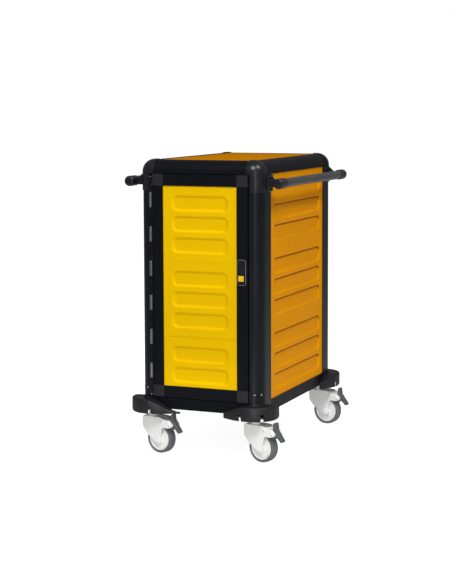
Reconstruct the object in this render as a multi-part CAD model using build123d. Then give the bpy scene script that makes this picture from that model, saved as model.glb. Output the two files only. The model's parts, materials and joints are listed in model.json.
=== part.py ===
from build123d import *
import os
from math import radians, sin, cos, sqrt

# Insulated food transport cart. Millimetres, +Z up, the door faces -Y.
# The origin is on the floor under the middle of the cart.
os.makedirs("parts", exist_ok=True)

# Body: a box of aluminium profiles with rounded edges
BODY_W = 434.0
BODY_D = 706.0
BODY_BOTTOM = 155.0
BODY_TOP = 987.5
EDGE_R = 40.0
SKIN = 3.0
CAP_PROUD = 2.5
PAST = 1.0
HALF_W = BODY_W / 2
HALF_D = BODY_D / 2
FRONT = -HALF_D

# How far each profile leg reaches from its corner
POST_SIDE_LEG = 91.6
POST_JAMB_X = HALF_W - 42.0
POST_REAR_LEG = 85.5
RAIL_LEG = 44.5
RAIL_BOTTOM = BODY_TOP - 44.0
BASE_SKIN_TOP = 195.0
GROOVE_WIDTH = 1.2
GROOVE_DEPTH = 0.6
GROOVE_END = 2.0
GROOVE_IN = 1.0
DECK_CORNER_R = 45.0

# Door opening
JAMB_DEPTH = 39.0
STOP_LIP = 13.0
SILL_TOP = 193.0
STOP_THICK = 3.0

# Sheets and insulation
SHEET = 1.5
SHEET_TUCK = 8.0
POCKET_DEPTH = 5.0
POCKET_R = 19.0
POCKET_H = 52.0
POCKET_SLOPE = 45.0
FOAM_GAP = 0.1
FOAM_CHAMFER = 24.0
TOP_RISE = 2.0
TOP_RISE_X = HALF_W - 57.0
TOP_RISE_Y = HALF_D - 58.0
SIDE_POCKET_W = BODY_D - 246.0
REAR_POCKET_W = BODY_W - 234.0
DOOR_POCKET_W = BODY_W - 234.0
SEAM_GAP = 0.6

# The side sheet is pressed in three equal modules, with the pockets' tops as shares of one, downwards
SIDE_MODULES = 3
SIDE_MODULE = (RAIL_BOTTOM - BASE_SKIN_TOP) / SIDE_MODULES
SIDE_POCKET_SHARES = (0.134, 0.412, 0.690)

# Pocket tops of the three door sheets, and the seams between these, as shares of the door's panel, upwards
DOOR_POCKET_SHARES = ((0.9529, 0.8512, 0.7450), (0.5795, 0.4761, 0.3710), (0.2016, 0.0968))
DOOR_SEAM_SHARES = (0.6260, 0.2491)

# Cabin
CABIN_W = BODY_W - 104.0
CABIN_BOTTOM = 205.0
CABIN_TOP = BODY_TOP - 55.5
CABIN_BACK = HALF_D - 53.0
LINER = 1.0
RACK_SHEET = 1.2
RACK_FRONT = FRONT + 68.0
RACK_BACK = CABIN_BACK - 20.0
LEDGES = 8
LEDGE_FIRST = CABIN_BOTTOM + 45.0
LEDGE_ROOM = 87.0
LEDGE_PITCH = (CABIN_TOP - LEDGE_ROOM - LEDGE_FIRST) / (LEDGES - 1)
LEDGE_REACH = 10.8
LEDGE_LIP = 8.0

# Door
DOOR_GAP = 4.5
DOOR_BOTTOM = 195.0
DOOR_TOP = RAIL_BOTTOM - 2.0
DOOR_THICK = 36.0
DOOR_FRAME = 39.0
DOOR_LIP = 8.0
DOOR_WALL = 2.5
DOOR_BACK = 1.0
TENON = 22.0
FIT = 0.2
GASKET_W = 7.5
GASKET_INSET = 1.0
GASKET_GAP = 0.3

# Hinge
HINGE_X = 1.0 - POST_JAMB_X
HINGE_Y = FRONT - 5.5
KNUCKLE_R = 5.0
HINGE_PIN_R = 2.5
RUN_FIT = 0.08
HINGE_BOTTOM = DOOR_BOTTOM + 10.0
HINGE_TOP = DOOR_TOP - 9.5
KNUCKLES = 6
KNUCKLE_LEN = 50.0
KNUCKLE_GAP = 0.3
KNUCKLE_FIRST = HINGE_BOTTOM + 79.0
KNUCKLE_LAST = HINGE_TOP - 76.0
KNUCKLE_PITCH = (KNUCKLE_LAST - KNUCKLE_FIRST) / (KNUCKLES - 1)
LEAF = 1.5
LEAF_BACK = FRONT + 23.0
LEAF_CLEAR = 1.0
PIN_HEAD = 2.0
PIN_HEAD_R = 4.0

# Latch
BEZEL_X = POST_JAMB_X - 25.4
BEZEL_W = 31.6
BEZEL_BOTTOM = 581.6
BEZEL_TOP = 666.4
BEZEL_PROUD = 3.0
BEZEL_R = 6.0
CASE_W = 26.0
CASE_BACK = FRONT + 28.0
CASE_WALL = 2.0
PADDLE_W = 22.0
PADDLE_BOTTOM = 617.0
PADDLE_AXIS_Z = 645.5
PADDLE_AXIS_Y = FRONT + 0.2
PADDLE_THICK = 2.6
PADDLE_PIN_R = 1.6
CUP_FLOOR = FRONT + 9.5
CUP_GAP = 0.5
CUP_FOOT = 1.5
PADDLE_LIP = 2.5
PADDLE_LIP_BACK = 5.0
PIN_SEAT = 1.3
CASE_INSET = 4.0
BUTTON = 18.5
BUTTON_GAP = 0.3
BUTTON_R = 2.0
BUTTON_X = BEZEL_X - 1.1
BUTTON_Z = 604.4
BUTTON_PROUD = 1.5
BUTTON_TRAVEL = 3.0
BOLT_Y = FRONT + 18.0
BOLT_Z = 636.0
BOLT_H = 16.0
BOLT_D = 12.0
BOLT_LEN = 30.0
BOLT_TIP = POST_JAMB_X + 6.0
BOLT_CLEAR = 0.5
KEEPER = 2.0
KEEPER_H = 60.0
KEEPER_D = 20.0

# Corner caps and their screws
CAP_BOTTOM = BODY_TOP - 102.0
CAP_LAP = 7.5
CAP_SKIRT_X = POST_JAMB_X + 6.0
CAP_SCREW_ANGLES = (27.0, 84.0)
CAP_SCREW_HEIGHTS = (CAP_BOTTOM + 8.5, CAP_BOTTOM + 47.5)
SCREW_HEAD_R = 3.6
SCREW_HEAD = 2.4
SCREW_SEAT = 1.3
SCREW_R = 2.0
SCREW_LEN = 9.0
RIVET_ANGLES = (24.0, 58.0)
RIVET_Z = 222.5
RIVET_HEAD_R = 3.2
RIVET_HEAD = 1.8
RIVET_TAIL = 3.0

# Push bars
BAR_X = HALF_W + 50.5
BAR_Z = BODY_TOP - 73.5
BAR_R = 15.0
BAR_WALL = 2.5
BAR_HALF = HALF_D - 53.0
SOCKET_R = 17.5
SOCKET_NEAR = BAR_HALF - 20.0
SOCKET_FAR = BAR_HALF + 22.0
BAR_CAP_DOME = 9.0
BRACKET_W = 46.0
BRACKET_FAR = BAR_HALF + 10.0
BRACKET_NEAR = BRACKET_FAR - BRACKET_W
BRACKET_BOTTOM = BAR_Z - 27.0
BRACKET_TOP = BAR_Z + 28.0
BRACKET_PLATE = 5.5
NECK_H = 24.0
NECK_W = 22.0
NECK_FAR = BAR_HALF + 6.0
NECK_NEAR = NECK_FAR - NECK_W
BRACKET_RIB = 5.0
BRACKET_BOLT_R = 3.0
BRACKET_BOLT_HEAD_R = 4.6
BRACKET_BOLT_HEAD = 2.6
BRACKET_BOLT_IN = 8.0
BRACKET_BOLT_SIDE = 7.5
BRACKET_BOLT_END = 8.0
RIB_TOP = 4.0
RIB_FOOT = 8.0
PRESS_GAP = 0.02
CAP_EDGE_R = 7.0
CAP_SPIGOT = 15.0
CAP_FIT = 0.1

# Corner bumpers, one moulding turned to each corner. Its two wings run along the walls:
# (distance from the outer corner, how far it stands out, top edge height)
BUMPER_OUT = 42.0
BUMPER_R = 78.0
BUMPER_BOTTOM = 141.0
BUMPER_TOP = 188.0
BUMPER_WALL = 4.0
TALL_WING = ((88.0, 42.0, 187.0), (110.0, 39.0, 183.0), (127.0, 34.0, 178.5),
             (142.0, 27.0, 173.0), (158.0, 18.0, 167.0), (171.0, 12.0, 163.0))
LOW_WING = ((88.0, 42.0, 186.5), (110.0, 37.5, 178.0), (127.0, 31.0, 169.5),
            (142.0, 22.0, 158.0), (170.0, 7.0, 149.5), (187.0, 0.0, 147.5))
COLLAR_OUT = 5.0
COLLAR_REACH = 84.0
COLLAR_TOP = 194.0
FLANGE_BOTTOM = 153.0
TALL_NOTCH = 102.0
LOW_NOTCH = 91.0
WING_NOTCH_W = 8.5
CORNER_NOTCH_ANGLE = 38.6
CORNER_NOTCH_W = 12.0
NOTCH_DEPTH = 14.0
NOTCH_TOP = 178.0

# Casters
SWIVEL_INSET = 32.0
TRAIL = 34.0
WHEEL_R = 50.0
WHEEL_W = 32.0
HUB_R = 40.5
HUB_RIM = 6.5
HUB_WEB = 25.0
HUB_BOSS_R = 13.0
BOSS_GAP = 0.4
AXLE_R = 5.0
MOUNT_PLATE = 4.0
MOUNT_SIZE = 90.0
MOUNT_BOLT_SPAN = 70.0
MOUNT_BOLT_R = 4.0
MOUNT_BOLT_HEAD_R = 6.5
MOUNT_BOLT_HEAD = 4.0
KING_R = 8.0
KING_HEAD_R = 12.0
KING_HEAD_BOTTOM = 97.0
KING_HEAD_TOP = 103.0
FORK_CROWN = 124.0
FORK_W = 50.0
FORK_CAVITY_W = 40.0
FORK_CAVITY_R = 56.0
FORK_NECK_R = 17.0
FORK_EDGE_R = 7.0
FORK_AXLE_R = 15.0
PEDAL_U = 86.5
PEDAL_Z = 98.5
PEDAL_W = 20.0
PEDAL_HUB_R = 7.0
PEDAL_PIN_R = 3.0
PEDAL_LOBE = 21.0
PEDAL_REST = 20.0
PEDAL_EDGE_R = 2.5
PEDAL_GAP = 0.6
LOBE_HALF_W = 8.0
LOBE_HALF_H = 3.0
FORK_SCREW = (54.0, 110.0)
FORK_SCREW_R = 4.5
AXLE_HEAD_R = 9.0
AXLE_HEAD = 3.5
NECK_GAP = 0.3
KING_OVER = 0.4
KING_AROUND = 0.5
HUB_INSET = 1.0
TYRE_EDGE_R = 4.0
CASTER_ANGLES = {"front_left": 15.0, "front_right": 18.0, "rear_right": 11.0, "rear_left": 14.0}

SWIVEL_X = HALF_W - SWIVEL_INSET
SWIVEL_Y = HALF_D - SWIVEL_INSET
SHEET_X = HALF_W - SKIN
SHEET_Y = HALF_D - SKIN
POST_SIDE_Y = HALF_D - POST_SIDE_LEG
POST_REAR_X = HALF_W - POST_REAR_LEG
RAIL_X = HALF_W - RAIL_LEG
RAIL_Y = HALF_D - RAIL_LEG
STOP_BACK = FRONT + JAMB_DEPTH + STOP_THICK + SKIN
STOP_X = POST_JAMB_X + SKIN - STOP_LIP
SIDES = (("left", -1), ("right", 1))


def block(x0, x1, y0, y1, z0, z1):
    """A box between two opposite corners."""
    middle = Pos((x0 + x1) / 2, (y0 + y1) / 2, (z0 + z1) / 2)
    return middle * Box(abs(x1 - x0), abs(y1 - y0), abs(z1 - z0))


def rod(start, end, radius):
    """A round bar from one point to another."""
    along = Vector(*end) - Vector(*start)
    return extrude(Plane(origin=start, z_dir=along) * Circle(radius), along.length)


def envelope(inset):
    """The rounded outside of the body, drawn in by inset on every side but the bottom."""
    half_w = HALF_W - inset
    half_d = HALF_D - inset
    box = block(-half_w, half_w, -half_d, half_d, BODY_BOTTOM, BODY_TOP - inset)
    edges = box.edges().filter_by(Axis.Z) + box.faces().sort_by(Axis.Z)[-1].edges()
    return fillet(edges, EDGE_R - inset)


def mirrored(shape, left, rear=False):
    """The front right shape, turned over to another corner."""
    if left:
        shape = mirror(shape, about=Plane.YZ)
    if rear:
        shape = mirror(shape, about=Plane.XZ)
    return shape


def four_corners(shape):
    """The front right shape at all four corners."""
    return [mirrored(shape, left, rear) for left in (True, False) for rear in (True, False)]


def slab(plane, points, depth, both=False):
    """A closed outline on a plane, made thick."""
    return extrude(plane * make_face(Polyline(*points, close=True)), depth, both=both)


def save(name, *pieces):
    """Write one node, with every solid of every piece given."""
    solids = [solid for piece in pieces for solid in piece.solids()]
    shape = solids[0] if len(solids) == 1 else Compound(children=solids)
    export_step(shape, f"parts/{name}.step")


outside = envelope(0)
inside = envelope(SKIN)
profile_skin = outside - inside


def embossed(width, height, pockets):
    """A pressed sheet: outer face at z=0, metal below it, pockets (x, y, width) pressed inwards."""
    down = Vector(0, 0, -1)
    spread = SHEET * sqrt(2)
    sheet = Pos(0, 0, -SHEET / 2) * Box(width, height, SHEET)
    for x, y, long in pockets:
        mouth = Plane(origin=(x, y, 0), x_dir=(1, 0, 0), z_dir=down)
        back = RectangleRounded(long + 2 * spread, POCKET_H + 2 * spread, POCKET_R + spread)
        sheet += extrude(mouth * back, POCKET_DEPTH + SHEET, taper=POCKET_SLOPE)
    for x, y, long in pockets:
        mouth = Plane(origin=(x, y, 0), x_dir=(1, 0, 0), z_dir=down)
        front = RectangleRounded(long, POCKET_H, POCKET_R)
        sheet -= extrude(mouth * front, POCKET_DEPTH, taper=POCKET_SLOPE)
    return sheet


# Screw places shared by the caps, the posts and the screws
def corner_point(angle, radius, z):
    """A point round the front right corner, at an angle from straight ahead."""
    x = HALF_W - EDGE_R + radius * sin(radians(angle))
    y = -HALF_D + EDGE_R - radius * cos(radians(angle))
    return (x, y, z)


def corner_rods(angles, heights, inner, outer, radius):
    """Short bars that point into the corner."""
    return [rod(corner_point(angle, outer, z), corner_point(angle, inner, z), radius)
            for angle in angles for z in heights]


CAP_R = EDGE_R + CAP_PROUD
SEAT_R = CAP_R - SCREW_SEAT
cap_shanks = corner_rods(CAP_SCREW_ANGLES, CAP_SCREW_HEIGHTS, SEAT_R - SCREW_LEN, SEAT_R, SCREW_R)
cap_heads = corner_rods(CAP_SCREW_ANGLES, CAP_SCREW_HEIGHTS, SEAT_R, SEAT_R + SCREW_HEAD, SCREW_HEAD_R)
cap_screws = [shank + head for shank, head in zip(cap_shanks, cap_heads)]
cap_seats = corner_rods(CAP_SCREW_ANGLES, CAP_SCREW_HEIGHTS, SEAT_R, CAP_R + SCREW_HEAD, SCREW_HEAD_R)

bracket_face = HALF_W + CAP_PROUD + BRACKET_PLATE
bracket_bolt_y = (BRACKET_NEAR + BRACKET_BOLT_SIDE, BRACKET_FAR - BRACKET_BOLT_SIDE)
bracket_bolt_z = (BRACKET_BOTTOM + BRACKET_BOLT_END, BRACKET_TOP - BRACKET_BOLT_END)
bracket_bolts = []
bracket_shanks = []
for bolt_y in bracket_bolt_y:
    for bolt_z in bracket_bolt_z:
        tip = (HALF_W - SKIN - BRACKET_BOLT_IN, -bolt_y, bolt_z)
        seat = (bracket_face, -bolt_y, bolt_z)
        crown = (bracket_face + BRACKET_BOLT_HEAD, -bolt_y, bolt_z)
        shank = rod(tip, seat, BRACKET_BOLT_R)
        bracket_shanks.append(shank)
        bracket_bolts.append(shank + rod(seat, crown, BRACKET_BOLT_HEAD_R))

rivet_tail = EDGE_R - SKIN - RIVET_TAIL
rivet_top = EDGE_R + RIVET_HEAD
rivet_shanks = corner_rods(RIVET_ANGLES, (RIVET_Z,), rivet_tail, rivet_top, SCREW_R)
rivet_heads = corner_rods(RIVET_ANGLES, (RIVET_Z,), EDGE_R, rivet_top, RIVET_HEAD_R)
rivets = [shank + (head - outside) for shank, head in zip(rivet_shanks, rivet_heads)]


# Corner posts
def post(rear):
    """A corner post in the front right place: its skin, and at the front the door jamb and stop."""
    inner_x = POST_REAR_X if rear else POST_JAMB_X
    zone = block(inner_x, HALF_W + 1, -HALF_D - 1, -POST_SIDE_Y, BODY_BOTTOM, RAIL_BOTTOM)
    shape = profile_skin & zone
    groove_y = -HALF_D + EDGE_R - GROOVE_IN
    shape -= block(HALF_W - GROOVE_DEPTH, HALF_W + 1, groove_y - GROOVE_WIDTH, groove_y,
                   BASE_SKIN_TOP, CAP_BOTTOM - GROOVE_END)
    if not rear:
        low = BODY_BOTTOM + SKIN
        jamb_end = FRONT + JAMB_DEPTH + SKIN
        shape += block(POST_JAMB_X, POST_JAMB_X + SKIN, FRONT + SKIN, jamb_end, low, RAIL_BOTTOM)
        shape += block(STOP_X, POST_JAMB_X + SKIN, jamb_end, jamb_end + STOP_THICK, SILL_TOP, RAIL_BOTTOM)
    for hole in cap_shanks + bracket_shanks:
        shape -= hole
    return shape


front_post = post(rear=False)
rear_post = post(rear=True)
for hole in rivet_shanks:
    front_post -= hole
bolt_half_d = BOLT_D / 2 + BOLT_CLEAR
bolt_half_h = BOLT_H / 2 + BOLT_CLEAR
bolt_way = block(BODY_W / 4, BOLT_TIP + BOLT_CLEAR, BOLT_Y - bolt_half_d, BOLT_Y + bolt_half_d,
                 BOLT_Z - bolt_half_h, BOLT_Z + bolt_half_h)
save("front_right_post", front_post - bolt_way)
save("front_left_post", mirrored(front_post, left=True))
save("rear_right_post", mirrored(rear_post, left=False, rear=True))
save("rear_left_post", mirrored(rear_post, left=True, rear=True))
save("frame_rivets", *[mirrored(rivet, left) for rivet in rivets for left in (True, False)])

# Top rails: the front one carries the header over the door
stop_front = FRONT + JAMB_DEPTH + SKIN
front_rail = profile_skin & block(-RAIL_X, RAIL_X, FRONT - 1, -RAIL_Y, RAIL_BOTTOM, BODY_TOP + 1)
front_rail += block(-RAIL_X, RAIL_X, FRONT + SKIN, STOP_BACK, RAIL_BOTTOM, RAIL_BOTTOM + SKIN)
front_rail += block(-STOP_X, STOP_X, stop_front, STOP_BACK, CABIN_TOP, RAIL_BOTTOM + SKIN)
save("top_front_rail", front_rail)
save("top_rear_rail", profile_skin & block(-RAIL_X, RAIL_X, RAIL_Y, HALF_D + 1, RAIL_BOTTOM, BODY_TOP + 1))
for side, sign in SIDES:
    zone = block(sign * RAIL_X, sign * (HALF_W + 1), -RAIL_Y, RAIL_Y, RAIL_BOTTOM, BODY_TOP + 1)
    save(f"top_{side}_rail", profile_skin & zone)

# Corner caps: a ball corner in the frame's own skin, and a proud skirt over posts and rails
cap = profile_skin & block(RAIL_X, HALF_W + 1, -HALF_D - 1, -RAIL_Y, RAIL_BOTTOM, BODY_TOP + 1)
cap_zone = block(RAIL_X - CAP_LAP, HALF_W + 10, -HALF_D - 10, -RAIL_Y + CAP_LAP, CAP_BOTTOM, BODY_TOP + 10)
cap_zone -= block(0, CAP_SKIRT_X, -HALF_D - 10, 0, CAP_BOTTOM, RAIL_BOTTOM)
cap += (envelope(-CAP_PROUD) - outside) & cap_zone
for hole in cap_shanks + cap_seats + bracket_shanks:
    cap -= hole
save("corner_caps", *four_corners(cap))
save("frame_screws", *[copy for screw in cap_screws + bracket_bolts for copy in four_corners(screw)])


# Base frame: skirt between the posts, floor deck and door sill, welded together
deck_plan = RectangleRounded(2 * SHEET_X, 2 * SHEET_Y, DECK_CORNER_R)
base = extrude(Plane.XY.offset(BODY_BOTTOM) * deck_plan, SKIN)
base += profile_skin & block(-POST_JAMB_X, POST_JAMB_X, FRONT - 1, 0, BODY_BOTTOM, SILL_TOP)
base += profile_skin & block(-POST_REAR_X, POST_REAR_X, 0, HALF_D + 1, BODY_BOTTOM, BASE_SKIN_TOP)
base += profile_skin & block(-HALF_W - 1, HALF_W + 1, -POST_SIDE_Y, POST_SIDE_Y, BODY_BOTTOM, BASE_SKIN_TOP)
base += block(-POST_JAMB_X, POST_JAMB_X, FRONT + SKIN, STOP_BACK, SILL_TOP - SKIN, SILL_TOP)
base += block(-STOP_X, STOP_X, stop_front, STOP_BACK, SILL_TOP - SKIN, CABIN_BOTTOM)

# Bolts that hold each caster mount through the bumper flange and the deck
mount_bolts = []
for du in (-MOUNT_BOLT_SPAN / 2, MOUNT_BOLT_SPAN / 2):
    for dv in (-MOUNT_BOLT_SPAN / 2, MOUNT_BOLT_SPAN / 2):
        x = SWIVEL_X + du
        y = -SWIVEL_Y + dv
        mount_bolts.append((x, y))
mount_top = FLANGE_BOTTOM
mount_bottom = FLANGE_BOTTOM - MOUNT_PLATE
bolt_edge = SKIN + 2 * MOUNT_BOLT_R
in_deck = [(x, y) for x, y in mount_bolts if x < HALF_W - bolt_edge and -y < HALF_D - bolt_edge]
bolt_shanks = [rod((x, y, mount_bottom), (x, y, BODY_BOTTOM + SKIN), MOUNT_BOLT_R) for x, y in in_deck]
out_shanks = [rod((x, y, mount_bottom), (x, y, BODY_BOTTOM), MOUNT_BOLT_R)
              for x, y in mount_bolts if (x, y) not in in_deck]
for shank in bolt_shanks:
    for hole in four_corners(shank):
        base -= hole
save("base_frame", base)

# Side, rear and top sheets behind the flanges
sheet_top = BODY_TOP - EDGE_R
sheet_bottom = BASE_SKIN_TOP - SHEET_TUCK
sheet_mid = (sheet_top + sheet_bottom) / 2
sheet_h = sheet_top - sheet_bottom
side_w = 2 * (POST_SIDE_Y + SHEET_TUCK)
rear_w = 2 * (POST_REAR_X + SHEET_TUCK)
pocket_mids = [RAIL_BOTTOM - (module + share) * SIDE_MODULE - POCKET_H / 2 - sheet_mid
               for module in range(SIDE_MODULES) for share in SIDE_POCKET_SHARES]
side_sheet = embossed(side_w, sheet_h, [(0, mid, SIDE_POCKET_W) for mid in pocket_mids])
rear_sheet = embossed(rear_w, sheet_h, [(0, mid, REAR_POCKET_W) for mid in pocket_mids])
for side, sign in SIDES:
    place = Plane(origin=(sign * SHEET_X, 0, sheet_mid), x_dir=(0, sign, 0), z_dir=(sign, 0, 0))
    panel = place * side_sheet
    for shank in bracket_shanks:
        for rear in (False, True):
            panel -= mirrored(shank, sign < 0, rear)
    save(f"{side}_side_panel", panel)
rear_place = Plane(origin=(0, SHEET_Y, sheet_mid), x_dir=(-1, 0, 0), z_dir=(0, 1, 0))
save("rear_panel", rear_place * rear_sheet)
flat_x = HALF_W - EDGE_R
flat_y = HALF_D - EDGE_R
panel_top = BODY_TOP - SKIN
raised_x = TOP_RISE_X - SHEET
raised_y = TOP_RISE_Y - SHEET
raised = block(-raised_x, raised_x, -raised_y, raised_y, panel_top - SHEET, panel_top - SHEET + TOP_RISE)
top_panel = block(-flat_x, flat_x, -flat_y, flat_y, panel_top - SHEET, panel_top)
top_panel += block(-TOP_RISE_X, TOP_RISE_X, -TOP_RISE_Y, TOP_RISE_Y, panel_top - SHEET, panel_top + TOP_RISE)
save("top_panel", top_panel - raised)

# Cabin liner, with a flange behind the door stop
half_cabin = CABIN_W / 2
liner = block(-half_cabin - LINER, half_cabin + LINER, STOP_BACK, CABIN_BACK + LINER,
              CABIN_BOTTOM - LINER, CABIN_TOP + LINER)
foam_hole = liner
liner += block(-POST_JAMB_X - SKIN, POST_JAMB_X + SKIN, STOP_BACK, STOP_BACK + LINER, SILL_TOP, RAIL_BOTTOM)
liner -= block(-half_cabin, half_cabin, STOP_BACK - 1, CABIN_BACK, CABIN_BOTTOM, CABIN_TOP)
save("inner_liner", liner)

# Insulation: one foamed block between the liner and the sheets
foam_x = SHEET_X - POCKET_DEPTH - SHEET - FOAM_GAP
foam_back = SHEET_Y - POCKET_DEPTH - SHEET - FOAM_GAP
foam_bottom = BODY_BOTTOM + SKIN
foam_top = panel_top - SHEET
foam_r = EDGE_R - SKIN - POCKET_DEPTH
foam = block(-foam_x, foam_x, STOP_BACK + LINER, foam_back, foam_bottom, foam_top)
foam = fillet(foam.edges().filter_by(Axis.Z).group_by(Axis.Y)[-1], foam_r)
foam = chamfer(foam.faces().sort_by(Axis.Z)[-1].edges().sort_by(Axis.Y)[1:], FOAM_CHAMFER)
foam += raised
foam -= foam_hole
for solid in bracket_shanks + cap_shanks:
    for hole in four_corners(solid):
        if (hole & foam).solids():
            foam -= hole
save("body_foam", foam)

# Tray racks: a sheet on each cabin wall with angle ledges welded to it
rack_out = half_cabin - RACK_SHEET
ledge_tip = rack_out - LEDGE_REACH
LEDGE_Z = [LEDGE_FIRST + LEDGE_PITCH * i for i in range(LEDGES)]
for side, sign in SIDES:
    rack = [block(sign * rack_out, sign * half_cabin, RACK_FRONT, RACK_BACK,
                  LEDGE_Z[0] - LEDGE_PITCH / 3, LEDGE_Z[-1] + LEDGE_PITCH / 2)]
    for z in LEDGE_Z:
        ledge = block(sign * ledge_tip, sign * rack_out, RACK_FRONT, RACK_BACK, z, z + RACK_SHEET)
        ledge += block(sign * ledge_tip, sign * (ledge_tip + RACK_SHEET), RACK_FRONT, RACK_BACK,
                       z - LEDGE_LIP, z)
        rack.append(ledge)
    save(f"{side}_tray_rack", *rack)

# Door frame
DOOR_X = POST_JAMB_X - DOOR_GAP
DOOR_REAR = FRONT + DOOR_THICK
frame_in_x = DOOR_X - DOOR_FRAME
tuck_x = frame_in_x + DOOR_LIP
back_y = DOOR_REAR - DOOR_BACK
rail_in_low = DOOR_BOTTOM + DOOR_FRAME
rail_in_high = DOOR_TOP - DOOR_FRAME
tuck_low = rail_in_low - DOOR_LIP
tuck_high = rail_in_high + DOOR_LIP


def stile():
    """The right hand stile: a hollow profile with a lip in front of the sheets."""
    shape = block(tuck_x, DOOR_X, FRONT, back_y, rail_in_low, rail_in_high)
    shape -= block(tuck_x + DOOR_WALL, DOOR_X - DOOR_WALL, FRONT + DOOR_WALL, back_y - DOOR_WALL,
                   rail_in_low - 1, rail_in_high + 1)
    return shape + block(frame_in_x, tuck_x, FRONT, FRONT + SKIN, rail_in_low, rail_in_high)


def cross_rail():
    """The bottom rail of the door, between the corner joiners."""
    shape = block(-frame_in_x, frame_in_x, FRONT, back_y, DOOR_BOTTOM, tuck_low)
    shape -= block(-DOOR_X, DOOR_X, FRONT + DOOR_WALL, back_y - DOOR_WALL,
                   DOOR_BOTTOM + DOOR_WALL, tuck_low - DOOR_WALL)
    return shape + block(-frame_in_x, frame_in_x, FRONT, FRONT + SKIN, tuck_low, rail_in_low)


def joiner():
    """The bottom right corner of the door: a block with a tenon into each profile."""
    shape = block(frame_in_x, DOOR_X, FRONT, back_y, DOOR_BOTTOM, rail_in_low)
    shape -= block(frame_in_x - 1, tuck_x, FRONT + SKIN, back_y + 1, tuck_low, rail_in_low + 1)
    hollow = DOOR_WALL + FIT
    shape += block(tuck_x + hollow, DOOR_X - hollow, FRONT + hollow, back_y - hollow,
                   rail_in_low, rail_in_low + TENON)
    shape += block(frame_in_x - TENON, frame_in_x, FRONT + hollow, back_y - hollow,
                   DOOR_BOTTOM + hollow, tuck_low - hollow)
    return shape


door_middle = Plane.XY.offset((DOOR_BOTTOM + DOOR_TOP) / 2)
case_x0 = BEZEL_X - CASE_W / 2
case_x1 = BEZEL_X + CASE_W / 2
case_z0 = BEZEL_BOTTOM + CASE_INSET
case_z1 = BEZEL_TOP - CASE_INSET
latch_room = block(case_x0, case_x1, FRONT - 1, CASE_BACK, case_z0, case_z1)
save("door_latch_stile", stile() - latch_room - bolt_way)
save("door_hinge_stile", mirror(stile(), about=Plane.YZ))
save("door_cross_rails", cross_rail(), mirror(cross_rail(), about=door_middle))
joiners = [joiner(), mirror(joiner(), about=Plane.YZ)]
joiners += [mirror(piece, about=door_middle) for piece in joiners]
save("door_corner_joiners", *joiners)

# Door sheets, insulation, inner panel and gasket
sheet_half = tuck_x - FIT
panel_high = rail_in_high - rail_in_low
seams = [rail_in_low + share * panel_high for share in DOOR_SEAM_SHARES]
panel_ends = [tuck_high - FIT, *seams, tuck_low + FIT]
for index, name in enumerate(("upper", "middle", "lower")):
    top = panel_ends[index] - (SEAM_GAP / 2 if index else 0)
    bottom = panel_ends[index + 1] + (SEAM_GAP / 2 if index < 2 else 0)
    mid = (top + bottom) / 2
    pocket_tops = [rail_in_low + share * panel_high for share in DOOR_POCKET_SHARES[index]]
    pockets = [(0, pocket_top - POCKET_H / 2 - mid, DOOR_POCKET_W) for pocket_top in pocket_tops]
    place = Plane(origin=(0, FRONT + SKIN, mid), x_dir=(1, 0, 0), z_dir=(0, -1, 0))
    panel = place * embossed(2 * sheet_half, top - bottom, pockets)
    save(f"door_panel_{name}", panel - latch_room)
foam_front = FRONT + SKIN + POCKET_DEPTH + SHEET + FOAM_GAP
door_foam = block(-tuck_x, tuck_x, foam_front, back_y, tuck_low, tuck_high) - latch_room
save("door_foam", door_foam)
save("door_inner_panel", block(-DOOR_X, DOOR_X, back_y, DOOR_REAR, DOOR_BOTTOM, DOOR_TOP))
gasket_x = DOOR_X - GASKET_INSET
gasket_low = DOOR_BOTTOM + GASKET_INSET
gasket_high = DOOR_TOP - GASKET_INSET
gasket_rear = stop_front - GASKET_GAP
gasket = block(-gasket_x, gasket_x, DOOR_REAR, gasket_rear, gasket_low, gasket_high)
gasket -= block(-gasket_x + GASKET_W, gasket_x - GASKET_W, DOOR_REAR - 1, gasket_rear + 1,
                gasket_low + GASKET_W, gasket_high - GASKET_W)
save("door_gasket", chamfer(gasket.faces().sort_by(Axis.Y)[-1].edges(), GASKET_W / 4))


# Hinge: black post knuckles and grey door knuckles take turns on one pin
def knuckle(z0, z1):
    """One barrel about the hinge line."""
    barrel = rod((HINGE_X, HINGE_Y, z0), (HINGE_X, HINGE_Y, z1), KNUCKLE_R)
    return barrel - rod((HINGE_X, HINGE_Y, z0 - 1), (HINGE_X, HINGE_Y, z1 + 1), HINGE_PIN_R + RUN_FIT)


door_spans = []
for i in range(KNUCKLES):
    middle = KNUCKLE_FIRST + KNUCKLE_PITCH * i
    door_spans.append((middle - KNUCKLE_LEN / 2, middle + KNUCKLE_LEN / 2))
post_spans = []
low = HINGE_BOTTOM
for bottom, top in door_spans:
    post_spans.append((low, bottom - KNUCKLE_GAP))
    low = top + KNUCKLE_GAP
post_spans.append((low, HINGE_TOP))


def hinge_leaf(x0, x1, spans):
    """A leaf along the door gap with its knuckles."""
    leaf_front = HINGE_Y + KNUCKLE_R + LEAF_CLEAR
    leaf = block(x0, x1, leaf_front, LEAF_BACK, HINGE_BOTTOM, HINGE_TOP)
    bore = rod((HINGE_X, HINGE_Y, HINGE_BOTTOM - 1), (HINGE_X, HINGE_Y, HINGE_TOP + 1), HINGE_PIN_R + RUN_FIT)
    for z0, z1 in spans:
        leaf += knuckle(z0, z1) + (block(x0, x1, HINGE_Y, leaf_front, z0, z1) - bore)
    return leaf


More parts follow.
